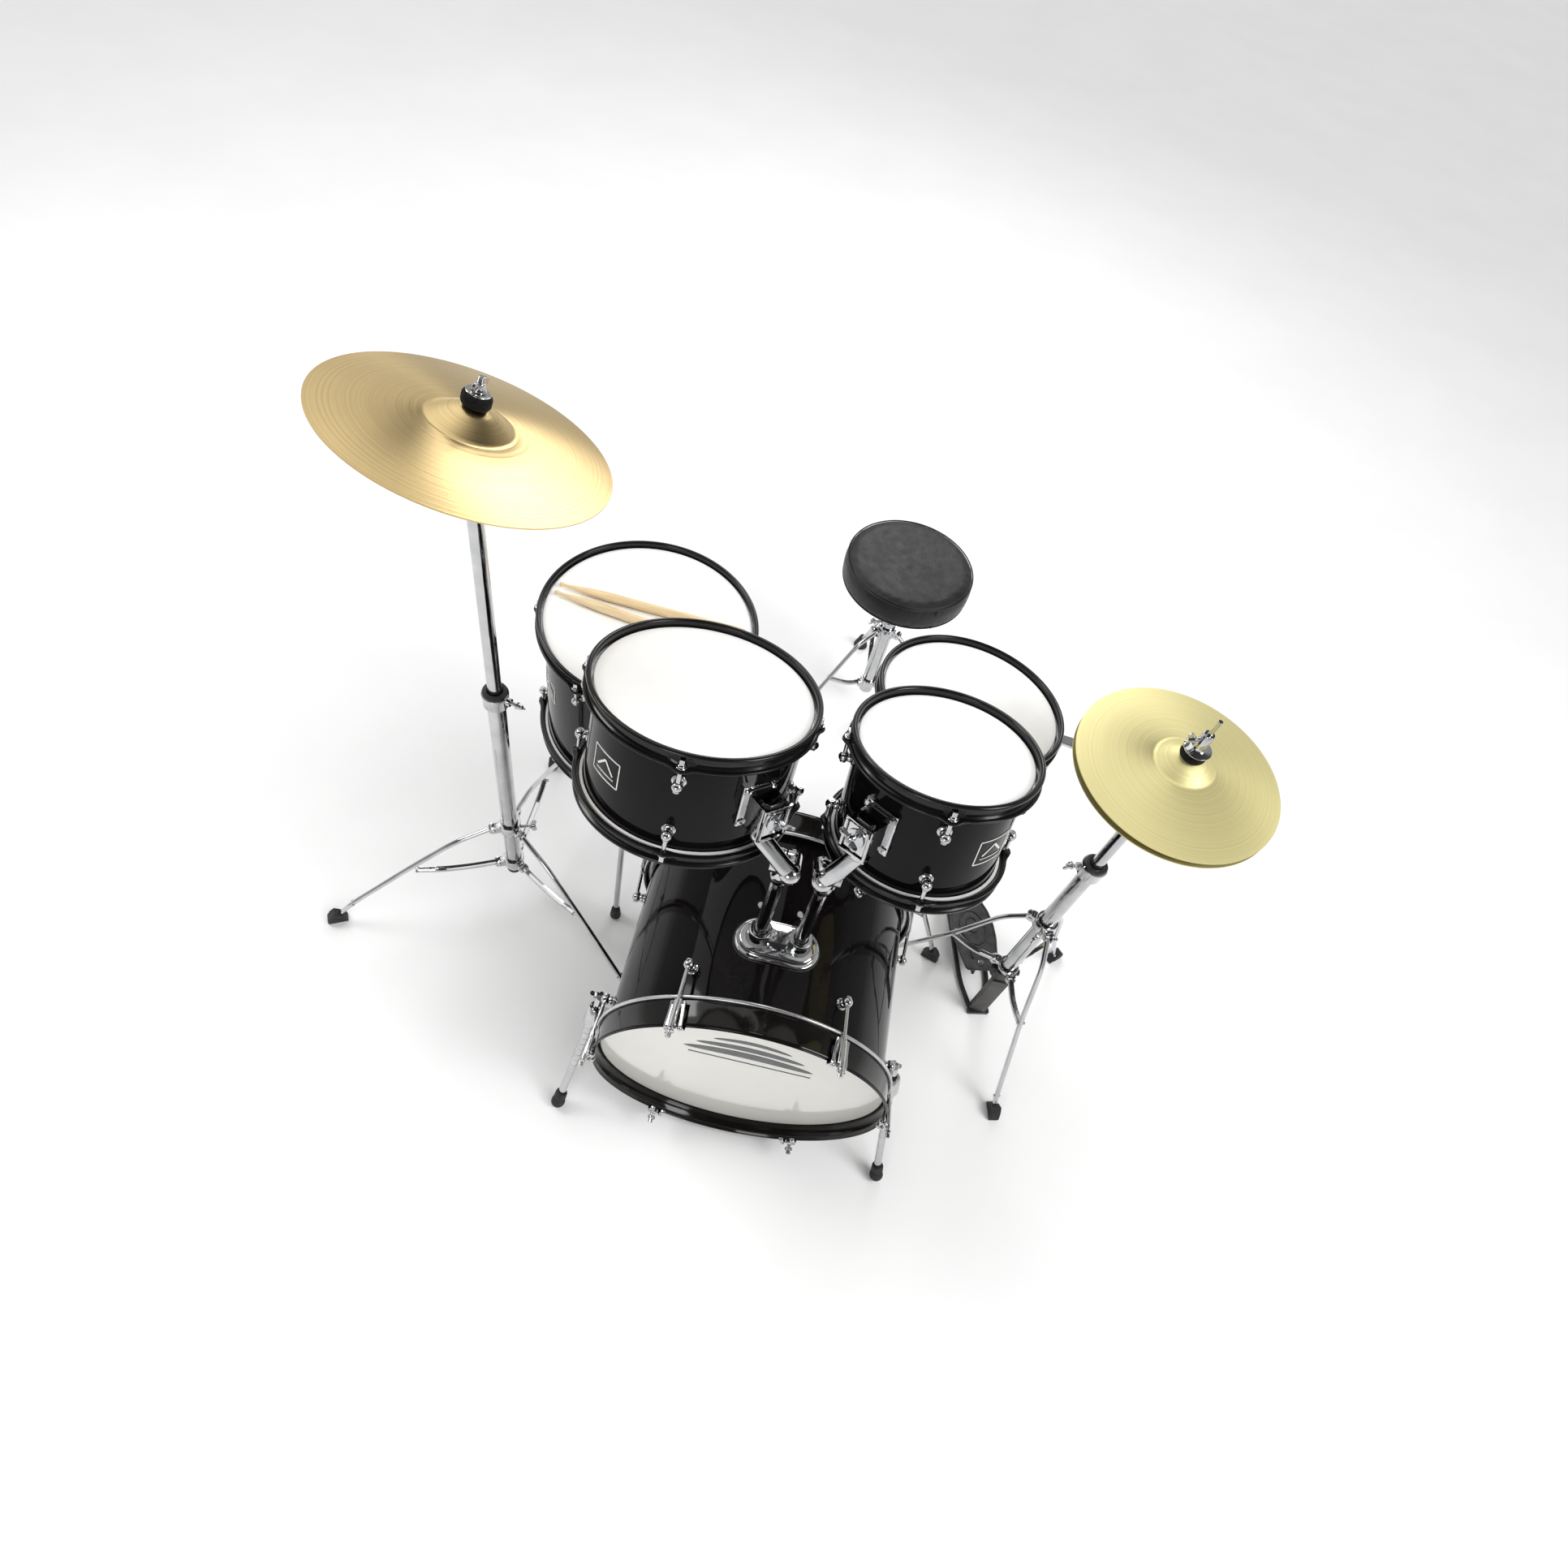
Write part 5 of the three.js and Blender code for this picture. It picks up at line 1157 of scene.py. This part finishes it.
# ---- bass pedal ----
def build_bass_pedal():
    """Frame with its two towers, footboard, and the beater on its axle."""
    front, heel, axle = PEDAL["front"], PEDAL["heel"], PEDAL["axle"]
    shaft_y = front + 12
    towers, bearings = [], []
    for s in (-1, 1):
        crown = arc(0, axle, 9.5, -20, 200, 12)
        outline = [(-11, 0), (11, 0), (9, 60), (7.5, 122)] + crown + [(-7.5, 122), (-9, 60)]
        towers.append(prism(outline, -3.6, 3.6).moved(SIDE_ON).at(s * 36, shaft_y, 0))
        bearing = hollow([(5.6, -4.2), (8.4, -4.2), (8.8, -3.2), (8.8, 3.2), (8.4, 4.2), (5.6, 4.2)], 32)
        bearings.append(bearing.turned(90, "Y").at(s * 36, shaft_y, axle))
    coil = [(44 + 3.6 * math.cos(t), shaft_y + 3.6 * math.sin(t), 30 + 2.2 * t)
            for t in np.linspace(0, 32, 260)]
    spring = sweep(coil, circle(0.9, 8))
    cross = slab(80, 24, 7, 4).at(0, shaft_y, 3.6)
    spine = slab(38, heel - front - 30, 4, 3).at(0, (front + heel) / 2, 2.2)
    heel_plate = [slab(78, 64, 8, 10).at(0, heel + 6, 4.2), slab(62, 40, 5, 8).at(0, heel + 12, 10.6)]
    hoop_clamp = [slab(34, 26, 8, 3).at(0, front + 2, 4.6), slab(30, 10, 5, 2).at(0, front - 4, 14)]
    knuckle = tube_ring(3.2, 6.2, -10, 10, 28).turned(90, "Y")
    knuckles = [knuckle.at(s * 14, heel - 26, PEDAL["hinge"] + 0.5) for s in (-1, 1)]
    cheeks = [slab(4, 20, 24, 2).at(s * 29, heel - 24, 14) for s in (-1, 1)]
    casting = [towers, cross, spine, heel_plate, hoop_clamp, cheeks]
    piece("bass_pedal_frame_casting", casting, "casting", "bass_pedal_frame", True, bevel=0.8)
    clamp_screw = wing_screw((0, front + 14, 9), (0, 0.5, 1), 24, 10, 0)
    piece("bass_pedal_bearings", [bearings, knuckles, clamp_screw, spring], "chrome", "bass_pedal_frame",
          bevel=0.3)
    grips = [slab(46, 3, 2, 1).at(0, heel - 2 + 7 * k, 13.8) for k in range(5)]
    piece("bass_pedal_heel_ribs", grips, "rubber", "bass_pedal_frame", bevel=0.3)
    place = board_place(heel - 26, PEDAL["hinge"] + 2, 196, PEDAL["toe"] + 2, Matrix.Identity(4))
    outline = [(24, 0), (38, 70), (36, 186), (30, 196), (-30, 196), (-36, 186), (-38, 70), (-24, 0)]
    plate = prism(outline, 0.2, 4.4)
    edge = bent([(w * 0.965, d, 4.8) for w, d in outline] + [(23, 0, 4.8)], 8, 4)
    rim = sweep(edge, rounded(3.2, 3, 1.2, 2))
    ribs = [slab(50 - 2 * abs(k - 4), 3.4, 2.4, 1.4).at(0, 50 + 14 * k, 5.2) for k in range(9)]
    piece("bass_pedal_board_casting", join(plate, rim, ribs).moved(place), "casting", "bass_pedal_footboard",
          True, bevel=0.5)
    tip = Vector((0, front + 30, axle + 128))
    stroke = math.radians(PEDAL["stroke"])
    facing = Vector((0, -math.cos(stroke), math.sin(stroke)))
    axle_rod = rod((-45, shaft_y, axle), (45, shaft_y, axle), 5, 28)
    drum = lathe([(0, -9), (13, -9), (14.6, -7.6), (14.6, 7.6), (13, 9), (0, 9)], 48)
    flanges = [tube_ring(12, 16.2, low, high, 48) for low, high in ((-11, -8.4), (8.4, 11))]
    cam = join(drum, flanges).turned(90, "Y").at(0, shaft_y, axle)
    centre = Vector((0, shaft_y, axle))
    stem = rod(centre, tip + (tip - centre).normalized() * 14, 3.6, 24)
    hub = rod(tip + facing * 2, tip - facing * 14, 9, 32)
    piece("bass_pedal_beater_rod", [axle_rod, cam, stem, hub], "chrome", "bass_pedal_beater", True,
          bevel=0.4)
    pad = lathe([(0, 18), (14, 18), (20, 16.6), (22, 13), (22.4, 4), (21.4, -8), (18, -13), (10, -15),
                 (0, -15)], 48)
    piece("bass_pedal_beater_felt", pad.moved(aimed(tip, tip + facing)), "wool", "bass_pedal_beater",
          bevel=0.8)


# ---- floor tom legs and sticks ----
def build_floor_tom():
    """The drum, its three leg brackets and the bent legs."""
    place = build_drum("floor_tom", FLOOR_TOM, (213, -100))
    x, y, top = FLOOR_TOM["centre"]
    radius = FLOOR_TOM["radius"]
    out, middle = radius + 16, -128
    brackets = []
    for azimuth in FLOOR_LEGS:
        plate = slab(4, 34, 56, 2).at(radius + 0.5, 0, middle)
        body = prism([(0, -13), (14, -13), (27, -9), (27, 9), (14, 13), (0, 13)], -21, 21)
        body = body.at(radius, 0, middle)
        sleeve = tube_ring(5.6, 10.5, -26, 26, 36).at(out, 0, middle)
        screw = wing_screw((out + 8, 0, middle + 4), (1, 0, 0), 20, 11, 50)
        brackets.append(join(plate, body, sleeve, screw).turned(azimuth).moved(place))
    piece("floor_tom_leg_brackets", brackets, "chrome", "floor_tom_shell", bevel=0.7)
    axis = {"x": x, "y": y}
    cap = lathe([(0, 0), (5, 0), (5.1, 1.4), (4, 3), (0, 3.4)], 24)
    notch = hollow([(4.9, -0.8), (5.3, -0.5), (5.3, 0.5), (4.9, 0.8)], 24)
    tip = lathe([(0, 0.4), (8.4, 0.4), (9.4, 2), (9.6, 6), (8.6, 15), (7.4, 27), (6.6, 28.5), (0, 28.5)], 32)
    for i, azimuth in enumerate(FLOOR_LEGS, 1):
        cad = f"floor_tom_leg_{i}"
        line = [(out, top - 70), (out, 186), (out + 33, 20), (out + 34, 12)]
        bar = sweep(bent([stand_point(axis, r, azimuth, z) for r, z in line], 30, 10), circle(5, 20))
        rings = [notch.at(*stand_point(axis, out, azimuth, z)) for z in range(200, 400, 24)]
        upper = cap.at(*stand_point(axis, out, azimuth, top - 70))
        piece(f"{cad}_rod", [bar, upper, rings], "chrome", cad, True, bevel=0.3)
        foot = tip.at(*stand_point(axis, out + 34, azimuth, 0))
        piece(f"{cad}_rubber_tip", foot, "rubber", cad, bevel=0.6)


def build_sticks():
    """Two sticks that lie on the floor tom's head, turned about their own axes."""
    z = FLOOR_TOM["centre"][2] + 8.4
    for word, tip, butt in STICK_ENDS:
        tip, butt = Vector((*tip, z)), Vector((*butt, z))
        length = (butt - tip).length
        taper = [(2.6, 9.5), (2.3, 12), (2.9, 18), (4.4, 34), (5.8, 52), (6.6, 74), (6.7, 120),
                 (6.7, length - 6)]
        end = [(6.2, length - 2.5), (4.4, length - 0.4), (0, length)]
        outline = [(0, 0)] + arc(0, 3.6, 3.6, -70, 40, 8) + taper + end
        turn = aimed(tip, butt) @ Matrix.Rotation(math.radians(-90), 4, "Y")
        stick = lathe(outline, 32).turned(90, "Y")
        piece(f"drumstick_{word}_wood", stick, "hickory", f"drumstick_{word}", True, bevel=0, sharp=60,
              matrix=turn)


# ---- snare ----
def build_snare():
    """The drum with its strainer, throw-off lever, butt plate and wires."""
    place = build_drum("snare", SNARE, lower_film="gloss_film")
    radius, depth = SNARE["radius"], SNARE["depth"]
    middle = -depth / 2
    turn = Matrix.Rotation(math.radians(STRAINER_AZIMUTH), 4, "Z")
    case = prism([(0, -13), (9, -13), (11.5, -9), (11.5, 9), (9, 13), (0, 13)], -33, 33)
    case = case.at(radius - 0.5, 0, middle)
    slide = slab(6, 15, 22, 2).at(radius + 9, 0, middle - 24)
    knob = lathe([(0, 0), (6.8, 0), (7.2, 1), (7.2, 6), (6.2, 7.4), (0, 7.6)], 18)
    knob = knob.at(radius + 8, 0, middle + 33)
    piece("snare_strainer", join(case, slide, knob).moved(place @ turn), "chrome", "snare_shell", bevel=0.6)
    low = middle - 16
    butt_screws = [rod((radius + 6, o, low), (radius + 10, o, low), 2.6, 16) for o in (-8, 8)]
    butt = join(slab(8, 26, 30, 3).at(radius + 3.5, 0, low), butt_screws).turned(BUTT_AZIMUTH)
    piece("snare_butt_plate", butt.moved(place), "chrome", "snare_shell", bevel=0.5)
    lever = slab(5, 14, 60, 2).at(radius + 15.5, 0, middle + 11)
    paddle = prism([(-9, -9), (6, -10)] + arc(8, 0, 9.5, -70, 70, 10) + [(6, 10), (-9, 9)], -2, 2)
    paddle = paddle.at(radius + 23, 0, middle + 42)
    hinge = rod((radius + 15.5, -10, middle - 17), (radius + 15.5, 10, middle - 17), 2.6, 20)
    piece("snare_lever", join(lever, paddle, hinge).moved(place @ turn), "chrome", "snare_throw_off", True,
          bevel=0.6)
    under = -depth - 2.2
    wires = []
    for k in range(12):
        coil = [(-70 + 140 * t, 2.1 * (k - 5.5) + 0.5 * math.sin(t * 150), under + 0.5 * math.cos(t * 150))
                for t in np.linspace(0, 1, 200)]
        wires.append(sweep(coil, circle(0.35, 5)))
    plates = [slab(12, 30, 1.2, 2).at(s * 76, 0, under) for s in (-1, 1)]
    piece("snare_wires", join(wires, plates).moved(place @ turn), "chrome", "snare_hoop_bottom", bevel=0)
    build_snare_stand(place)


def build_snare_stand(place):
    """Tripod with its half of the tilter, then the basket, whose arms hold the drum at place."""
    sx, sy = SNARE["centre"][0] - 8, SNARE["centre"][1] - 22
    stand = {"x": sx, "y": sy}
    tube = tube_ring(10.6, 12.7, 64, SNARE_PIVOT - 22, 40).at(sx, sy, 0)
    plug = lathe([(0, 62), (10, 62), (12.6, 65), (12.9, 72), (0, 72)], 40).at(sx, sy, 0)
    neck = lathe([(12.9, -34), (13.6, -33), (13.6, -25), (9, -18), (0, -17)], 40).at(sx, sy, SNARE_PIVOT)
    block = slab(10, 16, 20, 3).at(sx - 6, sy, SNARE_PIVOT - 10)
    disc = lathe([(0, 0), (11, 0), (12.4, 1.4), (12.4, 10.6), (11, 12), (0, 12)], 48)
    near = disc.moved(aimed((sx, sy, SNARE_PIVOT), (sx - 1, sy, SNARE_PIVOT)))
    screw = wing_screw((sx - 11, sy, SNARE_PIVOT), (-1, 0, 0), 16, 10, 15)
    legs = tripod(stand, SNARE_FEET, [(22, 220), (60, 196), (142, 36), (146, 18)], 4.2,
                  [(20, 90), (52, 92), (76, 112), (100, 117)], [(98, 118, 6, 3)])
    feet = [pointed_foot(stand, SNARE_FEET, azimuth) for azimuth in SNARE_FEET["azimuths"]]
    collars = [eared_collar(stand, z, SNARE_FEET, 12.7, 14, height) for z, height in ((220, 22), (90, 14))]
    leg_screw = wing_screw((sx - 12, sy + 12, 220), (-0.7, 0.7, 0), 22, 11, 20)
    base = [tube, neck, block, near, screw, legs, collars, leg_screw]
    piece("snare_stand_base", base, "chrome", "snare_stand_tripod", True, bevel=0.4)
    piece("snare_stand_feet", [feet, plug], "rubber", "snare_stand_tripod", bevel=1.0)
    radius, depth = SNARE["radius"], SNARE["depth"]

    def under(r, a, z):
        """A point above or below the plane of the lower head."""
        return place @ polar(r, a, z - depth)

    hub_top = under(0, 0, -40)
    upwards = under(0, 0, 0) - under(0, 0, -1)
    reach = radius + 15
    arms, grips = [], []
    for a in SNARE_ARMS:
        path = bent([hub_top, under(reach * 0.5, a, -30), under(reach, a, -19), under(reach, a, 2)], 14, 8)
        arms.append(sweep(path, rounded(9, 4.2, 1.6, 3), up=upwards))
        hold = bent([under(reach - 13, a, -15.6), under(reach + 1, a, -16), under(reach + 1.4, a, 6)], 7, 6)
        grips.append(sweep(hold, rounded(14, 6.4, 2.6, 4), up=polar(1, a + 90).cross(Vector((1, 0, 0)))))
    far = disc.moved(aimed((sx + 0.4, sy, SNARE_PIVOT), (sx + 2, sy, SNARE_PIVOT)))
    stem = rod((sx + 8, sy, SNARE_PIVOT), hub_top, 5, 24)
    basket_hub = join(ball(12, 32, 16), tube_ring(4, 15.5, -4, 4, 40)).at(*hub_top)
    piece("snare_stand_basket", [arms, far, stem, basket_hub], "chrome", "snare_basket", True, bevel=0.5)
    piece("snare_basket_grips", grips, "rubber", "snare_basket", bevel=0.8)


# ---- throne ----
def build_throne():
    """Tripod, height post with its seat plate, and the seat."""
    x, y = THRONE["x"], THRONE["y"]
    sleeve = tube_ring(12, 14, 56, 270, 48).at(x, y, 0)
    lip = hollow([(12, 262), (15.6, 262), (16, 264), (16, 269), (15, 270.5), (12, 270.5)], 48).at(x, y, 0)
    legs = tripod(THRONE, THRONE_FEET, [(24, 238), (60, 214), (166, 30), (174, 18)], 4.4,
                  [(22, 84), (54, 92), (84, 112), (108, 129)], [(106, 130, 6, 3)])
    feet = [ribbed_foot(azimuth) for azimuth in THRONE_FEET["azimuths"]]
    collars = [eared_collar(THRONE, z, THRONE_FEET, 14, 14, height) for z, height in ((238, 24), (84, 16))]
    screw = wing_screw((x - 13, y, 256), (-1, -0.3, 0), 24, 12, 0)
    piece("throne_base", [sleeve, lip, legs, collars, screw], "chrome", "throne_tripod", True, bevel=0.4)
    piece("throne_feet", feet, "rubber", "throne_tripod", bevel=0.5)
    underside = THRONE["top"] - THRONE["thickness"]
    post = rod((x, y, 120), (x, y, underside - 6), 11, 40)
    lock = hollow([(11, 0), (14.6, 0), (15.2, 1.4), (15.2, 18), (14.2, 20), (11, 20)], 40).at(x, y, 272)
    plate = lathe([(0, -12), (16, -12), (19, -9), (44, -6), (46, -4), (46, -1), (0, -1)], 64)
    plate = plate.at(x, y, underside)
    bolt = lathe([(0, -9), (4, -9), (4.4, -6), (4.4, -4), (0, -4)], 6)
    bolts = [bolt.at(*stand_point(THRONE, 34, azimuth, underside)) for azimuth in range(45, 360, 90)]
    lock_screw = wing_screw((x + 14, y, 282), (1, 0.2, 0), 16, 9, 30)
    piece("throne_post_tube", [post, lock, plate, bolts, lock_screw], "chrome", "throne_post", True,
          bevel=0.4)
    # Thin dark discs on the post where its height holes are: painted shade, standing for the dark inside of
    # each hole.
    painted_hole_shade = lathe([(0, 0), (2.4, 0), (2.6, 0.5), (0, 0.6)], 20)
    painted_hole_shades = [painted_hole_shade.moved(aimed((x, y - 10.8, z), (x, y - 12, z))) for z in (302, 322, 342)]
    piece("throne_post_pin_holes", painted_hole_shades, "rubber", "throne_post", bevel=0)
    build_seat(underside)


def ribbed_foot(azimuth):
    """The throne's domed rubber foot with rings round its skirt."""
    skirt = [(0, 0), (15, 0)]
    for k in range(4):
        z = 2 + 3.2 * k
        skirt += [(15.6 - k * 0.9, z), (14.4 - k * 0.9, z + 1.6)]
    dome = [(10.5, 16), (8.6, 24), (7, 29), (0, 30)]
    return lathe(skirt + dome, 40).at(*stand_point(THRONE, THRONE_FEET["radius"] - 6, azimuth, 0))


def seat_blank(radius, low, high):
    """The seat before stuffing: a drum with round shoulders and a slight crown."""
    foot = [(radius * f, low) for f in (0, 0.35, 0.7, 0.93)] + arc(radius - 8, low + 8, 8, -60, 0, 4)
    crown = [(radius * f, high + (1 - f) * 3) for f in (0.8, 0.6, 0.4, 0.2, 0)]
    return lathe(foot + arc(radius - 12, high - 12, 12, 0, 80, 6) + crown, 96)


def build_seat(underside):
    """Cushion, piping along its seams, stitches round the top and the board beneath."""
    x, y, radius = THRONE["x"], THRONE["y"], THRONE["radius"]
    high = THRONE["top"] - 2
    blank = seat_blank(radius - 1.5, underside + 2, high).at(x, y, 0)
    seat = piece("throne_seat_cushion", blank, "vinyl", "throne_seat", True, bevel=0)
    stuff(seat)
    foot_z, seam_z, side_azimuth, around = underside + 7, high - 4.5, 300, np.linspace(0, 360, 145)
    welt = sweep([polar(radius - 2.4, a, seam_z) for a in around], circle(1.3, 10))
    lower = sweep([polar(radius - 2.2, a, foot_z) for a in around], circle(1.3, 8))
    side = sweep([polar(radius - 0.9, side_azimuth, z) for z in np.linspace(foot_z, seam_z, 14)],
                 circle(1.3, 8))
    piece("throne_seat_piping", join(welt, lower, side).at(x, y, 0), "vinyl", "throne_seat", bevel=0)
    stitches = []
    count, line, z = 170, radius - 6.2, seam_z + 3.6
    for k in range(count):
        azimuth = 360 * k / count
        start, end = polar(line, azimuth, z), polar(line, azimuth + 1.25, z)
        stitches.append(sweep([start, (start + end) / 2 + Vector((0, 0, 0.35)), end], circle(0.42, 6)))
    piece("throne_seat_stitching", join(stitches).at(x, y, 0), "thread", "throne_seat", bevel=0)
    edge = radius - 12
    board = lathe([(0, -0.6), (edge, -0.6), (edge + 1, 1), (edge, 3.5), (0, 3.5)], 80).at(x, y, underside)
    piece("throne_seat_board", board, "rubber", "throne_seat", bevel=0.4)


def stuff(seat):
    """Fills the seat by a short cloth simulation with inner pressure. Its foot and the rim at its seam
    are held, and its travel is capped. Lengths are in metres."""
    voxel, frames, pressure, growth, travel = 0.005, 20, 14, 0.02, 0.002
    foot_height, rim_height, rim_width = 0.006, 0.015, 0.012
    rest_parent = seat.parent
    seat.parent = None
    remesh = seat.modifiers.new("remesh", "REMESH")
    remesh.mode = "VOXEL"
    remesh.voxel_size = voxel
    apply_modifiers(seat)
    before = np.array([v.co for v in seat.data.vertices])
    height = before[:, 2]
    middle = (before.max(axis=0) + before.min(axis=0)) / 2
    across = np.linalg.norm(before[:, :2] - middle[:2], axis=1)
    rim = (height > height.max() - rim_height) & (across > across.max() - rim_width)
    held = (height < height.min() + foot_height) | rim
    pinned = seat.vertex_groups.new(name="pinned")
    pinned.add([int(i) for i in np.flatnonzero(held)], 1.0, "REPLACE")
    settings = seat.modifiers.new("cloth", "CLOTH").settings
    settings.quality = 5
    settings.use_pressure = True
    settings.uniform_pressure_force = pressure
    settings.shrink_min = -growth
    settings.effector_weights.gravity = 0
    settings.vertex_group_mass = "pinned"
    scene = bpy.context.scene
    for number in range(1, frames + 1):
        scene.frame_set(number)
    apply_modifiers(seat)
    move = np.array([v.co for v in seat.data.vertices]) - before
    size = np.linalg.norm(move, axis=1, keepdims=True)
    after = before + move * np.minimum(1, travel / np.maximum(size, 1e-9))
    seat.data.vertices.foreach_set("co", after.astype(np.float32).ravel())
    seat.data.update()
    scene.frame_set(1)
    seat.modifiers.new("smooth", "SUBSURF").render_levels = 1
    seat.data.shade_smooth()
    seat.parent = rest_parent


def apply_modifiers(obj):
    """Bakes an object's modifiers into its mesh."""
    bpy.context.view_layer.update()
    graph = bpy.context.evaluated_depsgraph_get()
    fresh = bpy.data.meshes.new_from_object(obj.evaluated_get(graph), depsgraph=graph)
    obj.modifiers.clear()
    obj.data = fresh


# ---- studio ----
FLOOR_HALF = 9.0
SKY_LEVELS = ((0.0, 0.52), (0.4, 0.42), (0.62, 0.10), (1.0, 0.05))  # brightness from below to overhead
AIM = Vector((0, 0, 0.35))
# name, place in metres, size in metres for a panel and degrees for a sky, power
PANELS = (("key_panel", (2.1, -0.8, 2.3), 1.0, 26), ("side_panel", (-2.3, 0.2, 2.0), 0.9, 20),
          ("back_panel", (0.3, 2.5, 2.3), 1.1, 22), ("front_panel", (-0.6, -2.6, 1.5), 0.8, 11))
SKIES = (("sky_right", (1.4, -0.5, 2.4), 50, 1.4), ("sky_left", (-1.2, 1.2, 2.4), 60, 1.0))
# the camera's place in metres from ORIGIN, its angles in radians and its lens in millimetres
CAMERA = {"place": (-0.0911, -0.4647, 1.6284), "azimuth": 0.0639, "down": 0.9522, "roll": 0.2931,
          "lens": 22.58, "sensor": 36}


def build_studio():
    """Pale floor, a world graded by height, soft panels on four sides and two broad suns."""
    floor = bpy.data.meshes.new("studio_floor")
    half = FLOOR_HALF
    floor.from_pydata([(-half, -half, 0), (half, -half, 0), (half, half, 0), (-half, half, 0)], [],
                      [(0, 1, 2, 3)])
    ground = bpy.data.objects.new("studio_floor", floor)
    ground.location.z = -0.0004
    scene = bpy.context.scene
    scene.collection.objects.link(ground)
    pale = grainy("pale_floor", (0.90, 0.90, 0.90), (0.93, 0.93, 0.93), (0.75, 0.85), 3, [(60, 0.02, 0.001)])
    floor.materials.append(pale)
    world = bpy.data.worlds.new("studio")
    world.use_nodes = True
    tree = world.node_tree
    sky = tree.nodes["Background"]
    sky.inputs["Strength"].default_value = 1.0
    around = tree.nodes.new("ShaderNodeTexCoord")
    split = tree.nodes.new("ShaderNodeSeparateXYZ")
    ramp = tree.nodes.new("ShaderNodeValToRGB")
    tree.links.new(around.outputs["Generated"], split.inputs[0])
    tree.links.new(split.outputs["Z"], ramp.inputs["Fac"])
    tree.links.new(ramp.outputs["Color"], sky.inputs["Color"])
    for height, _ in SKY_LEVELS[1:-1]:
        ramp.color_ramp.elements.new(height)
    for stop, (_, level) in zip(ramp.color_ramp.elements, SKY_LEVELS):
        stop.color = (level, level, level, 1)
    scene.world = world
    scene.view_settings.view_transform = "Standard"
    for name, place, size, power in PANELS + SKIES:
        light = bpy.data.lights.new(name, "SUN" if name.startswith("sky") else "AREA")
        light.energy = power
        if light.type == "SUN":
            light.angle = math.radians(size)
        else:
            light.size = size
        lamp = bpy.data.objects.new(name, light)
        lamp.visible_glossy = name != "sky_right"
        lamp.location = place
        lamp.rotation_mode = "QUATERNION"
        lamp.rotation_quaternion = (AIM - Vector(place)).to_track_quat("-Z", "Y")
        scene.collection.objects.link(lamp)


def build_camera():
    azimuth, down, roll = CAMERA["azimuth"], CAMERA["down"], CAMERA["roll"]
    ahead = Vector((math.cos(down) * math.sin(azimuth), math.cos(down) * math.cos(azimuth), -math.sin(down)))
    right = ahead.cross(Vector((0, 0, 1))).normalized()
    below = ahead.cross(right)
    across = right * math.cos(roll) - below * math.sin(roll)
    downward = right * math.sin(roll) + below * math.cos(roll)
    data = bpy.data.cameras.new("view")
    data.sensor_width = CAMERA["sensor"]
    data.lens = CAMERA["lens"]
    data.clip_end = 50
    camera = bpy.data.objects.new("view", data)
    turn = Matrix((across, -downward, -ahead)).transposed().to_4x4()
    camera.matrix_world = Matrix.Translation(Vector(CAMERA["place"]) + ORIGIN) @ turn
    bpy.context.scene.collection.objects.link(camera)
    bpy.context.scene.camera = camera


build_camera()
build_studio()
build_bass_drum()
build_tom_mount()
for tom, tom_spec, tom_badge_azimuth in (("tom_high_left", TOM_1, 227), ("tom_high_right", TOM_2, 316)):
    build_drum(tom, tom_spec, (tom_badge_azimuth, -70))
mounted_tom("tom_high_left", TOM_1, 313, POSTS["x"][0])
mounted_tom("tom_high_right", TOM_2, 233, POSTS["x"][1])
build_floor_tom()
build_sticks()
build_snare()
build_crash_stand()
build_hihat()
build_bass_pedal()
build_throne()
